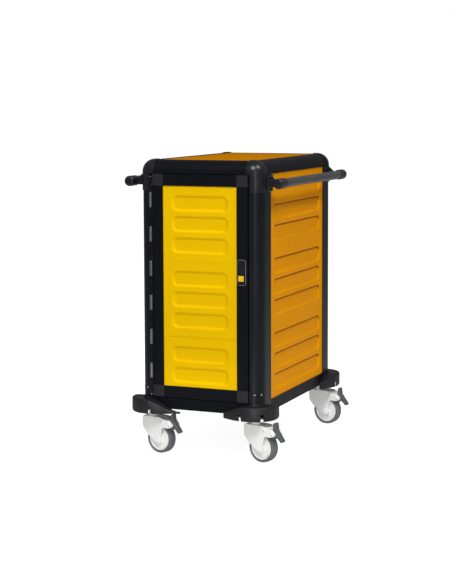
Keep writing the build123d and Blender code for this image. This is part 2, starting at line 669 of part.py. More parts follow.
save("hinge_door_leaf", hinge_leaf(-DOOR_X - LEAF, -DOOR_X, door_spans))
save("hinge_post_leaf", hinge_leaf(-POST_JAMB_X, -POST_JAMB_X + LEAF, post_spans))
pin_foot = (HINGE_X, HINGE_Y, HINGE_BOTTOM - PIN_HEAD)
hinge_pin = rod(pin_foot, (HINGE_X, HINGE_Y, HINGE_TOP + PIN_HEAD), HINGE_PIN_R)
for z in (HINGE_BOTTOM - PIN_HEAD, HINGE_TOP):
    hinge_pin += rod((HINGE_X, HINGE_Y, z), (HINGE_X, HINGE_Y, z + PIN_HEAD), PIN_HEAD_R)
save("hinge_pin", hinge_pin)

# Latch case: bezel, finger cup for the paddle, guide for the button, channel for the bolt
bezel_plan = Plane(origin=(BEZEL_X, FRONT, (BEZEL_BOTTOM + BEZEL_TOP) / 2), x_dir=(1, 0, 0), z_dir=(0, -1, 0))
bezel = extrude(bezel_plan * RectangleRounded(BEZEL_W, BEZEL_TOP - BEZEL_BOTTOM, BEZEL_R), BEZEL_PROUD)
face_y = FRONT - BEZEL_PROUD
case = bezel + block(case_x0, case_x1, FRONT, CASE_BACK, case_z0, case_z1)
paddle_x0 = BEZEL_X - PADDLE_W / 2
paddle_x1 = BEZEL_X + PADDLE_W / 2
paddle_top = PADDLE_AXIS_Z + PADDLE_THICK / 2
case -= block(paddle_x0 - CUP_GAP, paddle_x1 + CUP_GAP, face_y - 1, CUP_FLOOR,
              PADDLE_BOTTOM - CUP_FOOT, paddle_top + 2 * CUP_GAP)
button_half = BUTTON / 2 + BUTTON_GAP
case -= block(BUTTON_X - button_half, BUTTON_X + button_half, face_y - 1, CUP_FLOOR,
              BUTTON_Z - button_half, BUTTON_Z + button_half)
channel_d = BOLT_D / 2 + BOLT_CLEAR
channel_h = BOLT_H / 2 + BOLT_CLEAR
case -= block(case_x0 + CASE_WALL, case_x1 + 1, BOLT_Y - channel_d, BOLT_Y + channel_d,
              BOLT_Z - channel_h, BOLT_Z + channel_h)
pin_x0 = paddle_x0 - CUP_GAP - PIN_SEAT
pin_x1 = paddle_x1 + CUP_GAP + PIN_SEAT
axis_start = (pin_x0, PADDLE_AXIS_Y, PADDLE_AXIS_Z)
axis_end = (pin_x1, PADDLE_AXIS_Y, PADDLE_AXIS_Z)
case -= rod(axis_start, axis_end, PADDLE_PIN_R + RUN_FIT)
save("latch_case", case)

paddle = block(paddle_x0, paddle_x1, PADDLE_AXIS_Y - PADDLE_THICK / 2, PADDLE_AXIS_Y + PADDLE_THICK / 2,
               PADDLE_BOTTOM, PADDLE_AXIS_Z)
paddle += block(paddle_x0, paddle_x1, PADDLE_AXIS_Y - PADDLE_THICK / 2, PADDLE_AXIS_Y + PADDLE_LIP_BACK,
                PADDLE_BOTTOM, PADDLE_BOTTOM + PADDLE_LIP)
for reach, radius in ((PADDLE_W / 2, PADDLE_THICK / 2), ((pin_x1 - pin_x0) / 2 - RUN_FIT, PADDLE_PIN_R)):
    left_end = (BEZEL_X - reach, PADDLE_AXIS_Y, PADDLE_AXIS_Z)
    right_end = (BEZEL_X + reach, PADDLE_AXIS_Y, PADDLE_AXIS_Z)
    paddle += rod(left_end, right_end, radius)
save("latch_paddle", paddle)

button_back = CUP_FLOOR - BUTTON_TRAVEL - BUTTON_GAP
button = block(BUTTON_X - BUTTON / 2, BUTTON_X + BUTTON / 2, face_y - BUTTON_PROUD, button_back,
               BUTTON_Z - BUTTON / 2, BUTTON_Z + BUTTON / 2)
save("release_button", fillet(button.edges().filter_by(Axis.Y), BUTTON_R))

bolt = block(BOLT_TIP - BOLT_LEN, BOLT_TIP, BOLT_Y - BOLT_D / 2, BOLT_Y + BOLT_D / 2,
             BOLT_Z - BOLT_H / 2, BOLT_Z + BOLT_H / 2)
nose = bolt.faces().sort_by(Axis.X)[-1].edges().filter_by(Axis.Z)
save("latch_bolt", chamfer(nose, BOLT_D / 4))
keeper_plate = block(POST_JAMB_X - KEEPER, POST_JAMB_X, BOLT_Y - KEEPER_D / 2, BOLT_Y + KEEPER_D / 2,
                     BOLT_Z - KEEPER_H / 2, BOLT_Z + KEEPER_H / 2)
save("latch_keeper", keeper_plate - bolt_way)

# Push bars with their brackets and end caps
tube = rod((BAR_X, -BAR_HALF, BAR_Z), (BAR_X, BAR_HALF, BAR_Z), BAR_R)
tube -= rod((BAR_X, -BAR_HALF - PAST, BAR_Z), (BAR_X, BAR_HALF + PAST, BAR_Z), BAR_R - BAR_WALL)
save("right_push_bar", tube)
save("left_push_bar", mirrored(tube, left=True))

bracket = block(HALF_W + CAP_PROUD, bracket_face, -BRACKET_FAR, -BRACKET_NEAR, BRACKET_BOTTOM, BRACKET_TOP)
bracket += block(HALF_W, HALF_W + CAP_PROUD, -RAIL_Y + CAP_LAP, -BRACKET_NEAR, BRACKET_BOTTOM, BRACKET_TOP)
bracket += block(bracket_face, BAR_X, -NECK_FAR, -NECK_NEAR, BAR_Z - NECK_H / 2, BAR_Z + NECK_H / 2)
rib_mid = -(NECK_NEAR + NECK_FAR) / 2
rib_plane = Plane(origin=(0, rib_mid, 0), x_dir=(1, 0, 0), z_dir=(0, -1, 0))
rib_points = [(bracket_face, BAR_Z), (bracket_face, BRACKET_TOP),
              (bracket_face + RIB_TOP, BRACKET_TOP), (BAR_X - RIB_FOOT, BAR_Z)]
bracket += slab(rib_plane, rib_points, BRACKET_RIB / 2, both=True)
bracket += rod((BAR_X, -SOCKET_FAR, BAR_Z), (BAR_X, -SOCKET_NEAR, BAR_Z), SOCKET_R)
bracket -= rod((BAR_X, -SOCKET_FAR - PAST, BAR_Z), (BAR_X, -SOCKET_NEAR + PAST, BAR_Z), BAR_R + PRESS_GAP)
for hole in bracket_shanks:
    bracket -= hole
save("push_bar_brackets", *four_corners(bracket))

cap_plane = Plane(origin=(BAR_X, -SOCKET_FAR, BAR_Z), x_dir=(1, 0, 0), z_dir=(0, -1, 0))
end_cap = extrude(cap_plane * Circle(SOCKET_R), BAR_CAP_DOME)
end_cap = fillet(end_cap.faces().sort_by(Axis.Y)[0].edges(), CAP_EDGE_R)
end_cap += rod((BAR_X, -SOCKET_FAR, BAR_Z), (BAR_X, -BAR_HALF, BAR_Z), BAR_R - CAP_FIT)
spigot_end = (BAR_X, -BAR_HALF + CAP_SPIGOT, BAR_Z)
end_cap += rod((BAR_X, -BAR_HALF, BAR_Z), spigot_end, BAR_R - BAR_WALL - CAP_FIT)
save("push_bar_end_caps", *four_corners(end_cap))


# Corner bumpers, drawn at the front right corner with the tall wing in front
corner_x = HALF_W + BUMPER_OUT
corner_y = HALF_D + BUMPER_OUT
FRONT_PLANE = Plane(origin=(0, -HALF_D, 0), x_dir=(1, 0, 0), z_dir=(0, -1, 0))
SIDE_PLANE = Plane(origin=(HALF_W, 0, 0), x_dir=(0, 1, 0), z_dir=(1, 0, 0))


def wing_plan(wing, inset):
    """How far a wing reaches and stands out, drawn in by inset, with an end face."""
    last = wing[-1][0] - inset
    plan = [(min(reach, last), out - inset) for reach, out, top in wing if out >= inset]
    if plan[-1][1] > 0:
        plan.append((plan[-1][0], 0.0))
    return plan


def above_wing(wing, sign, corner, drop):
    """The outline of what lies over a wing, seen from outside, from the corner's end on."""
    tops = [(sign * (corner - reach), top - drop) for reach, out, top in wing]
    near = sign * (corner - BUMPER_R)
    past = tops[-1][0] - sign * BUMPER_R
    high = BUMPER_TOP + BUMPER_WALL
    return [(near, BUMPER_TOP - drop), *tops, (past, tops[-1][1]), (past, high), (near, high)]


def bumper_mass(inset, drop, low):
    """The bumper's outside, drawn in by inset and lowered by drop, down to the height low."""
    front = [(corner_x - reach, -HALF_D - out) for reach, out in wing_plan(TALL_WING, inset)]
    side = [(HALF_W + out, -corner_y + reach) for reach, out in wing_plan(LOW_WING, inset)]
    arc_start = (corner_x - BUMPER_R, -corner_y + inset)
    arc_end = (corner_x - inset, -corner_y + BUMPER_R)
    square = [side[-1], (HALF_W, -flat_y), (flat_x, -flat_y), (flat_x, -HALF_D), front[-1]]
    lines = [Polyline(*reversed(front), arc_start), RadiusArc(arc_start, arc_end, inset - BUMPER_R),
             Polyline(arc_end, *side), Polyline(*square)]
    plan = make_face(Wire.combine([edge for line in lines for edge in line.edges()])[0])
    mass = extrude(Plane.XY.offset(low) * plan, BUMPER_TOP - drop - low)
    mass -= slab(FRONT_PLANE, above_wing(TALL_WING, 1, corner_x, drop), 2 * BUMPER_OUT)
    return mass - slab(SIDE_PLANE, above_wing(LOW_WING, -1, corner_y, drop), 2 * BUMPER_OUT)


def notch(plane, across, width):
    """A notch with a round top, cut up from the bottom edge into a wall on a plane."""
    half = width / 2
    high = NOTCH_TOP - BUMPER_BOTTOM
    tool = Pos(across, NOTCH_TOP - half - high / 2, 0) * Rectangle(width, high)
    tool += Pos(across, NOTCH_TOP - half, 0) * Circle(half)
    return extrude(plane * tool, -NOTCH_DEPTH) + extrude(plane * tool, PAST)


mount_half = MOUNT_SIZE / 2
bumper = bumper_mass(0.0, 0.0, BUMPER_BOTTOM) - bumper_mass(BUMPER_WALL, BUMPER_WALL, BUMPER_BOTTOM - PAST)
under_mount = block(SWIVEL_X - mount_half, corner_x, -corner_y, -SWIVEL_Y + mount_half,
                    FLANGE_BOTTOM, BODY_BOTTOM)
under_body = block(0, HALF_W, -HALF_D, 0, FLANGE_BOTTOM, BODY_BOTTOM)
bumper += (bumper_mass(BUMPER_WALL / 2, 0.0, FLANGE_BOTTOM) + under_body) & under_mount
bumper += envelope(-COLLAR_OUT) & block(corner_x - COLLAR_REACH, corner_x, -corner_y,
                                        -corner_y + COLLAR_REACH, BUMPER_TOP - BUMPER_WALL, COLLAR_TOP)
bumper -= outside
corner_way = Vector(sin(radians(CORNER_NOTCH_ANGLE)), -cos(radians(CORNER_NOTCH_ANGLE)), 0)
arc_middle = Vector(corner_x - BUMPER_R, -corner_y + BUMPER_R, 0)
corner_plane = Plane(origin=arc_middle + corner_way * BUMPER_R, x_dir=corner_way.rotate(Axis.Z, 90),
                     z_dir=corner_way)
bumper -= notch(FRONT_PLANE.offset(BUMPER_OUT), corner_x - TALL_NOTCH, WING_NOTCH_W)
bumper -= notch(SIDE_PLANE.offset(BUMPER_OUT), -corner_y + LOW_NOTCH, WING_NOTCH_W)
bumper -= notch(corner_plane, 0, CORNER_NOTCH_W)
for shank in bolt_shanks + out_shanks:
    bumper -= shank
from_corner = Pos(-HALF_W, HALF_D, 0) * bumper
bumper_places = ((HALF_W, -HALF_D, 0), (HALF_W, HALF_D, 90), (-HALF_W, HALF_D, 180), (-HALF_W, -HALF_D, 270))
save("corner_bumpers", *[Pos(x, y, 0) * Rot(0, 0, turn) * from_corner for x, y, turn in bumper_places])

# Caster mounts: plate, king pin with its head, and the bolts
mount = Pos(SWIVEL_X, -SWIVEL_Y, (mount_bottom + mount_top) / 2) * Box(MOUNT_SIZE, MOUNT_SIZE, MOUNT_PLATE)
king_foot = (SWIVEL_X, -SWIVEL_Y, KING_HEAD_BOTTOM)
mount += rod(king_foot, (SWIVEL_X, -SWIVEL_Y, mount_bottom), KING_R)
mount += rod(king_foot, (SWIVEL_X, -SWIVEL_Y, KING_HEAD_TOP), KING_HEAD_R)
for shank in bolt_shanks + out_shanks:
    mount += shank
for x, y in mount_bolts:
    mount += rod((x, y, mount_bottom - MOUNT_BOLT_HEAD), (x, y, mount_bottom), MOUNT_BOLT_HEAD_R)
save("caster_mounts", *four_corners(mount))


# Casters, drawn with the swivel at the origin, the wheel trailing along +X and lengths in u, z
def uz_slab(points, half):
    """An outline in the plane of the wheel, made thick on both sides."""
    return slab(Plane.XZ, points, half, both=True)


def across(u, z, half, radius, start=None):
    """A bar across the wheel's plane."""
    return rod((u, -half if start is None else start, z), (u, half, z), radius)


fork_half = FORK_W / 2
cavity_half = FORK_CAVITY_W / 2
fork_outline = [(-30, FORK_CROWN), (45, FORK_CROWN), (80, 114), (94, 101), (90, 92), (78, 90), (54, 90),
                (49, 62), (TRAIL + FORK_AXLE_R - 1, WHEEL_R), (TRAIL, WHEEL_R - FORK_AXLE_R + 1),
                (TRAIL - 11, WHEEL_R - 10), (-8, 62), (-29, 84), (-31, 100)]
fork = uz_slab(fork_outline, fork_half)
fork = fillet(fork.edges().filter_by(Axis.Y), FORK_EDGE_R)
fork += across(TRAIL, WHEEL_R, fork_half, FORK_AXLE_R)
fork -= across(TRAIL, WHEEL_R, cavity_half, FORK_CAVITY_R)
fork -= block(-WHEEL_R, TRAIL + 2 * WHEEL_R, -cavity_half, cavity_half, 0, WHEEL_R)
pedal_slot = [(60, 70), (60, 103), (66, 114), (77, 110.5), (77, 130), (130, 130), (130, 70)]
fork -= uz_slab(pedal_slot, PEDAL_W / 2 + PEDAL_GAP)
fork += rod((0, 0, FORK_CROWN - PAST), (0, 0, mount_bottom - NECK_GAP), FORK_NECK_R)
fork -= rod((0, 0, WHEEL_R), (0, 0, mount_bottom), KING_R + RUN_FIT)
fork -= rod((0, 0, WHEEL_R), (0, 0, KING_HEAD_TOP + KING_OVER), KING_HEAD_R + KING_AROUND)
fork -= across(TRAIL, WHEEL_R, fork_half + PAST, AXLE_R + PRESS_GAP)
fork -= across(PEDAL_U, PEDAL_Z, fork_half + PAST, PEDAL_PIN_R + PRESS_GAP)
for end in (-1, 1):
    screw_u, screw_z = FORK_SCREW
    face = end * fork_half
    proud = end * (fork_half + RIVET_HEAD)
    fork += rod((screw_u, face, screw_z), (screw_u, proud, screw_z), FORK_SCREW_R)
axle = across(TRAIL, WHEEL_R, fork_half, AXLE_R)
pedal_pin = across(PEDAL_U, PEDAL_Z, fork_half, PEDAL_PIN_R)
for end in (-1, 1):
    face = end * fork_half
    axle += rod((TRAIL, face, WHEEL_R), (TRAIL, end * (fork_half + AXLE_HEAD), WHEEL_R), AXLE_HEAD_R)
    proud = end * (fork_half + RIVET_HEAD)
    pedal_pin += rod((PEDAL_U, face, PEDAL_Z), (PEDAL_U, proud, PEDAL_Z), FORK_SCREW_R)

hub_half = WHEEL_W / 2 - HUB_INSET
boss_half = cavity_half - BOSS_GAP
hub = across(TRAIL, WHEEL_R, hub_half, HUB_R)
for end in (-1, 1):
    web = (TRAIL, end * HUB_WEB / 2, WHEEL_R)
    hub -= rod(web, (TRAIL, end * (hub_half + 1), WHEEL_R), HUB_R - HUB_RIM)
    hub += rod(web, (TRAIL, end * boss_half, WHEEL_R), HUB_BOSS_R)
hub -= across(TRAIL, WHEEL_R, fork_half, AXLE_R + RUN_FIT)
tyre = across(TRAIL, WHEEL_R, WHEEL_W / 2, WHEEL_R)
tyre = fillet(tyre.edges().filter_by(GeomType.CIRCLE), TYRE_EDGE_R)
tyre -= across(TRAIL, WHEEL_R, WHEEL_W, HUB_R)

lobe_angle = radians(222.7 + PEDAL_REST)
blade = [(81.5, 136), (89.5, 137), (92.5, 113), (99.5, 104), (110, 91.5), (119, 79), (113, 73.5),
         (101.5, 84.5), (92.5, 90.5), (80.5, 95), (80.5, 110)]
pedal = uz_slab(blade, PEDAL_W / 2)
pedal = fillet(pedal.edges().filter_by(Axis.Y), PEDAL_EDGE_R)
pedal += across(PEDAL_U, PEDAL_Z, PEDAL_W / 2, PEDAL_HUB_R)
lobe_u = (cos(lobe_angle), sin(lobe_angle))
lobe_n = (-lobe_u[1] * LOBE_HALF_H, lobe_u[0] * LOBE_HALF_H)
lobe_tip = (PEDAL_U + lobe_u[0] * PEDAL_LOBE, PEDAL_Z + lobe_u[1] * PEDAL_LOBE)
lobe = [(PEDAL_U + 2 * lobe_n[0], PEDAL_Z + 2 * lobe_n[1]),
        (PEDAL_U - 2 * lobe_n[0], PEDAL_Z - 2 * lobe_n[1]),
        (lobe_tip[0] - lobe_n[0], lobe_tip[1] - lobe_n[1]),
        (lobe_tip[0] + lobe_n[0], lobe_tip[1] + lobe_n[1])]
pedal += uz_slab(lobe, LOBE_HALF_W)
pedal -= across(PEDAL_U, PEDAL_Z, PEDAL_W, PEDAL_PIN_R + RUN_FIT)

for corner, angle in CASTER_ANGLES.items():
    x = SWIVEL_X if corner.endswith("right") else -SWIVEL_X
    y = SWIVEL_Y if corner.startswith("rear") else -SWIVEL_Y
    place = Pos(x, y, 0) * Rot(0, 0, -angle)
    save(f"caster_fork_{corner}", place * fork, place * axle, place * pedal_pin)
    save(f"caster_hub_{corner}", place * hub)
    save(f"caster_tyre_{corner}", place * tyre)
    save(f"brake_pedal_{corner}", place * pedal)
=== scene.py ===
import json
from math import cos, pi, radians, sin, sqrt, tan

import bmesh
import bpy
from mathutils import Matrix, Vector

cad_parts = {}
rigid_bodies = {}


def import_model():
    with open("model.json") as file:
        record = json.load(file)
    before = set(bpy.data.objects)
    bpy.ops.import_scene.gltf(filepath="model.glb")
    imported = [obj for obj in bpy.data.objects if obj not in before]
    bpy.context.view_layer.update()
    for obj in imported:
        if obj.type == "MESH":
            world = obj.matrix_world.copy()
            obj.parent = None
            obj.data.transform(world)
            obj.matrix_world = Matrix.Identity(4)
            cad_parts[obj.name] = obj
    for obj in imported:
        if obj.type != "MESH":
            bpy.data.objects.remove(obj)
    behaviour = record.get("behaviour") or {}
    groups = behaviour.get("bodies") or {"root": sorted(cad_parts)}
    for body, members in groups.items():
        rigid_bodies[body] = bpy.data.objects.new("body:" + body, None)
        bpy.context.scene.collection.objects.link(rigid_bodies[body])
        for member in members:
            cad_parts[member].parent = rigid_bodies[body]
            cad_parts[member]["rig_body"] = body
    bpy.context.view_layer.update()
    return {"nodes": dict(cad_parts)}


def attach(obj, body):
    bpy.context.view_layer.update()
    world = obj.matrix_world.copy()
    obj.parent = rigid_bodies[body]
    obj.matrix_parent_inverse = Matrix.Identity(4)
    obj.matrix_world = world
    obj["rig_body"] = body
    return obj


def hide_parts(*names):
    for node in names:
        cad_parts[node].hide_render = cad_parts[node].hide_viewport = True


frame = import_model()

# Insulated food transport cart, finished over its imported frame.
# The meshes are drawn in millimetres, like the part's source, and become metres when they are made a piece.
nodes = frame["nodes"]
scene = bpy.context.scene
MM = 0.001

# Body
HALF_W = 217.0
HALF_D = 353.0
EDGE_R = 40.0
SKIN = 3.0
SHEET = 1.5
CAP_R = 42.5

# Pressed sheets; a press is the bend's radius and the slope's angle
SHEET_LOW = 187.0
SHEET_HIGH = 947.5
SIDE_SHEET_W = 538.8
REAR_SHEET_W = 279.0
DOOR_SHEET_W = 272.0
POCKET_H = 52.0
POCKET_R = 19.0
POCKET_DEPTH = 5.0
WIDE_POCKET = 460.0
NARROW_POCKET = 200.0
RAIL_BOTTOM = 943.5
MODULE_H = 249.5
POCKET_SHARES = (0.134, 0.412, 0.690)
DOOR_PRESS = (9.0, 34.0)
BODY_PRESS = (5.5, 45.0)
BEND_STEPS = 5
LOOP_STEPS = 64

# Corner bumpers; a wing's stops are (distance from the outer corner, how far out, top edge)
BUMPER_OUT = 42.0
BUMPER_R = 78.0
BUMPER_LOW = 141.0
BUMPER_FOOT = 143.6
BUMPER_BELT = 147.0
BUMPER_TOP = 188.0
BUMPER_WALL = 3.0
TOP_RIM = 5.5
SHELF_LIP = 2.6
SHELF_STEP = 1.2
COLLAR_H = 6.0
TALL_WING = ((88.0, 42.0, 187.0), (110.0, 39.0, 183.0), (127.0, 34.0, 178.5), (142.0, 27.0, 173.0),
             (158.0, 18.0, 167.0), (171.0, 12.0, 163.0))
LOW_WING = ((88.0, 42.0, 186.5), (110.0, 37.5, 178.0), (127.0, 31.0, 169.5), (142.0, 22.0, 158.0),
            (170.0, 7.0, 149.5), (187.0, 3.2, 147.5))
WING_STOPS = (82.0, 119.0, 135.0, 150.0, 164.0)
NOTCH_TOP = 178.0
NOTCH_PARTS = (-1, -0.7, -0.35, 0, 0.35, 0.7, 1)
TALL_WING_NOTCH = 102.0
LOW_WING_NOTCH = 91.0
WING_NOTCH_HALF = 4.25
CORNER_NOTCH = 38.6
CORNER_NOTCH_HALF = 4.5
BUMPER_PLATE = ((140, -366, 153), (230, -276, 155))
# The first of a section's points that lies below a notch's round head
NOTCH_POINT = 11

# Screws and rivets of the front right corner: angles from straight ahead, places and heights
CAP_SCREW_ANGLES = (27.0, 84.0)
CAP_SCREW_HEIGHTS = (894.0, 933.0)
CAP_SCREW_SINK = 1.3
BAR_SCREW_X = 225.0
BAR_SCREW_YS = (-271.5, -302.5)
BAR_SCREW_HEIGHTS = (895.0, 934.0)
RIVET_ANGLES = (24.0, 58.0)
RIVET_HEIGHT = 222.5
RIVET_SINK = 0.1

# Casters
SWIVEL_X = 185.0
SWIVEL_Y = 321.0
TRAIL = 34.0
WHEEL_R = 50.0
CASTER_ANGLES = {"front_left": 15.0, "front_right": 18.0, "rear_right": 11.0, "rear_left": 14.0}
# Where the fork's pins end: along the wheel's plane, height, distance from it
PIN_ENDS = ((54.0, 110.0, 26.8), (86.5, 98.5, 26.8))

# Camera: the focal length and the middle's height in the picture's pixels, then place and turns
PICTURE_H = 584
FOCAL_PX = 1541.893
MIDDLE_PX = 230
SENSOR = 36.0
CAMERA_AT = (2.0200, -4.9738, 1.2038)
CAMERA_HEADING = 0.394733
CAMERA_DIP = 0.087995
CAMERA_ROLL = -0.003598


# Node groups: each effect is made once and placed in the materials with its own values

VECTOR_MATH = "ShaderNodeVectorMath"


def new_group(name, inputs, outputs):
    """An empty shader group with its named sockets, and its nodes and links."""
    group = bpy.data.node_groups.new(name, "ShaderNodeTree")
    for label, kind, value in inputs:
        socket = group.interface.new_socket(name=label, in_out="INPUT", socket_type=kind)
        socket.default_value = value
    for label, kind in outputs:
        group.interface.new_socket(name=label, in_out="OUTPUT", socket_type=kind)
    entry = group.nodes.new("NodeGroupInput")
    leave = group.nodes.new("NodeGroupOutput")
    return group, group.nodes, group.links, entry.outputs, leave.inputs


def feed(links, socket, given):
    """Links a socket to another one, or gives it a value."""
    if isinstance(given, bpy.types.NodeSocket):
        links.new(given, socket)
    else:
        socket.default_value = given


def calculate(tree, links, operation, *given, kind="ShaderNodeMath"):
    """One step of arithmetic on values or sockets."""
    node = tree.new(kind)
    node.operation = operation
    for socket, value in zip(node.inputs, given):
        feed(links, socket, value)
    return node.outputs[0]


def blend(tree, links, factor, color, other):
    """A colour that turns into another one as the factor goes from 0 to 1."""
    mix = tree.new("ShaderNodeMix")
    mix.data_type = "RGBA"
    feed(links, mix.inputs[0], factor)
    feed(links, mix.inputs[6], color)
    feed(links, mix.inputs[7], other)
    return mix.outputs[2]


def noise(tree, links, vector, scale, detail):
    """A noise texture on a vector; scale may be a number or a socket."""
    texture = tree.new("ShaderNodeTexNoise")
    texture.inputs["Detail"].default_value = detail
    links.new(vector, texture.inputs["Vector"])
    feed(links, texture.inputs["Scale"], scale)
    return texture.outputs["Fac"]


def spread(tree, links, value, low, high):
    """A value stretched from the range low to high on to 0 to 1."""
    node = tree.new("ShaderNodeMapRange")
    node.inputs["From Min"].default_value = low
    node.inputs["From Max"].default_value = high
    links.new(value, node.inputs["Value"])
    return node.outputs["Result"]


def shade_group():
    """Slow, slight light and dark patches, as any real surface has."""
    group, tree, links, given, out = new_group(
        "uneven_tone",
        (("Color", "NodeSocketColor", (0.8, 0.8, 0.8, 1)),
         ("Dark Color", "NodeSocketColor", (0.6, 0.6, 0.6, 1)),
         ("Scale", "NodeSocketFloat", 6.0), ("Amount", "NodeSocketFloat", 0.5)),
        (("Color", "NodeSocketColor"),))
    place = tree.new("ShaderNodeTexCoord").outputs["Object"]
    patches = spread(tree, links, noise(tree, links, place, given["Scale"], 4.0), 0.35, 0.7)
    amount = calculate(tree, links, "MULTIPLY", patches, given["Amount"])
    links.new(blend(tree, links, amount, given["Color"], given["Dark Color"]), out["Color"])
    return group


def relief_group(name, first, roughness, amount):
    """The start of a relief: a group with its sockets, and the Object coordinates in it."""
    group, tree, links, given, out = new_group(
        name, (first, ("Roughness", "NodeSocketFloat", roughness), ("Amount", "NodeSocketFloat", amount)),
        (("Height", "NodeSocketFloat"), ("Roughness", "NodeSocketFloat")))
    return group, tree, links, given, out, tree.new("ShaderNodeTexCoord").outputs["Object"]


def uneven_gloss(tree, links, given, out, pattern):
    """Lets a relief's roughness follow a pattern."""
    gloss = calculate(tree, links, "MULTIPLY_ADD", pattern, given["Amount"], given["Roughness"])
    links.new(gloss, out["Roughness"])


def grain_group():
    """The fine leathery grain of moulded plastic."""
    group, tree, links, given, out, place = relief_group(
        "moulded_grain", ("Scale", "NodeSocketFloat", 900.0), 0.5, 0.12)
    cells = tree.new("ShaderNodeTexVoronoi")
    links.new(place, cells.inputs["Vector"])
    links.new(given["Scale"], cells.inputs["Scale"])
    links.new(cells.outputs["Distance"], out["Height"])
    uneven_gloss(tree, links, given, out, noise(tree, links, place, 35.0, 5.0))
    return group


def coat_group():
    """The slight orange peel of a powder coat and its uneven gloss."""
    group, tree, links, given, out, place = relief_group(
        "powder_coat", ("Scale", "NodeSocketFloat", 260.0), 0.4, 0.1)
    links.new(noise(tree, links, place, given["Scale"], 2.0), out["Height"])
    uneven_gloss(tree, links, given, out, noise(tree, links, place, 9.0, 6.0))
    return group


def brush_group():
    """Long fine scratches along one direction, as rolling, drawing or brushing leaves in metal."""
    group, tree, links, given, out, place = relief_group(
        "brushed_lines", ("Stretch", "NodeSocketVector", (400.0, 400.0, 6.0)), 0.3, 0.2)
    stretched = calculate(tree, links, "MULTIPLY", place, given["Stretch"], kind=VECTOR_MATH)
    lines = noise(tree, links, stretched, 1.0, 6.0)
    links.new(lines, out["Height"])
    uneven_gloss(tree, links, given, out, lines)
    return group


uneven_tone = shade_group()
moulded_grain = grain_group()
powder_coat = coat_group()
brushed_lines = brush_group()


# Materials

BUMP_STRENGTH = 0.5
BLACK = (0.0045, 0.005, 0.008)
DEEP_BLACK = (0.003, 0.0035, 0.006)
# How often brushed lines repeat in each direction; they run where they repeat least
LINES_X = (6.0, 500.0, 500.0)
LINES_Y = (500.0, 6.0, 500.0)
LINES_Z = (500.0, 500.0, 5.0)
# The height of the normal where painted shade on a slope starts, and where it is full
DOWN_SLOPE = (-0.04, -0.60)
UP_SLOPE = (0.12, 0.60)


def finish(name, color, dark, relief, roughness, amount=0.1, depth=0.02, metallic=0.0, specular=0.5,
           tone_scale=6.0, relief_scale=None, stretch=None):
    """A surface: its colour with darker patches, and its relief as bump and uneven gloss."""
    material = bpy.data.materials.new(name)
    material.use_nodes = True
    tree = material.node_tree.nodes
    links = material.node_tree.links
    shader = tree["Principled BSDF"]
    shader.inputs["Metallic"].default_value = metallic
    shader.inputs["Specular IOR Level"].default_value = specular
    patches = tree.new("ShaderNodeGroup")
    patches.node_tree = uneven_tone
    patches.inputs["Color"].default_value = (*color, 1)
    patches.inputs["Dark Color"].default_value = (*dark, 1)
    patches.inputs["Scale"].default_value = tone_scale
    links.new(patches.outputs["Color"], shader.inputs["Base Color"])
    surface = tree.new("ShaderNodeGroup")
    surface.node_tree = relief
    surface.inputs["Roughness"].default_value = roughness - amount / 2
    surface.inputs["Amount"].default_value = amount
    if relief_scale:
        surface.inputs["Scale"].default_value = relief_scale
    if stretch:
        surface.inputs["Stretch"].default_value = stretch
    links.new(surface.outputs["Roughness"], shader.inputs["Roughness"])
    bump = tree.new("ShaderNodeBump")
    bump.inputs["Strength"].default_value = BUMP_STRENGTH
    bump.inputs["Distance"].default_value = depth * MM
    links.new(surface.outputs["Height"], bump.inputs["Height"])
    links.new(bump.outputs["Normal"], shader.inputs["Normal"])
    return material


def painted_slope_shade(material, painted_down_shade, painted_up_shade):
    """Paints shade on slopes that face down and on slopes that face up, each in a darker colour of its own.
    """
    tree = material.node_tree.nodes
    links = material.node_tree.links
    color = tree["Principled BSDF"].inputs["Base Color"]
    geometry = tree.new("ShaderNodeNewGeometry")
    split = tree.new("ShaderNodeSeparateXYZ")
    links.new(geometry.outputs["Normal"], split.inputs["Vector"])
    for shade, (low, high) in ((painted_down_shade, DOWN_SLOPE), (painted_up_shade, UP_SLOPE)):
        mask = spread(tree, links, split.outputs["Z"], low, high)
        links.new(blend(tree, links, mask, color.links[0].from_socket, (*shade, 1)), color)


def painted_rim_highlight(material, highlight_color, middle, half, width):
    """Paints a highlight in a band along a rectangle's outline on a piece's front, given by its middle and
    half size.
    """
    tree = material.node_tree.nodes
    links = material.node_tree.links
    place = tree.new("ShaderNodeTexCoord").outputs["Object"]
    middle = [value * MM for value in middle]
    half = [value * MM for value in half]
    offset = calculate(tree, links, "SUBTRACT", place, middle, kind=VECTOR_MATH)
    away = calculate(tree, links, "ABSOLUTE", offset, kind=VECTOR_MATH)
    room = calculate(tree, links, "SUBTRACT", half, away, kind=VECTOR_MATH)
    parts = tree.new("ShaderNodeSeparateXYZ")
    links.new(room, parts.inputs["Vector"])
    nearest = calculate(tree, links, "MINIMUM", parts.outputs["X"], parts.outputs["Z"])
    band = calculate(tree, links, "LESS_THAN", nearest, width * MM)
    front = calculate(tree, links, "GREATER_THAN", parts.outputs["Y"], 0.0)
    mask = calculate(tree, links, "MULTIPLY", band, front)
    color = tree["Principled BSDF"].inputs["Base Color"]
    links.new(blend(tree, links, mask, color.links[0].from_socket, (*highlight_color, 1)), color)


def anodised(name, stretch, color=BLACK, roughness=0.42, specular=0.12):
    """Black anodised aluminium, drawn along one direction."""
    return finish(name, color, DEEP_BLACK, brushed_lines, roughness, amount=0.12, depth=0.008,
                  specular=specular, stretch=stretch)
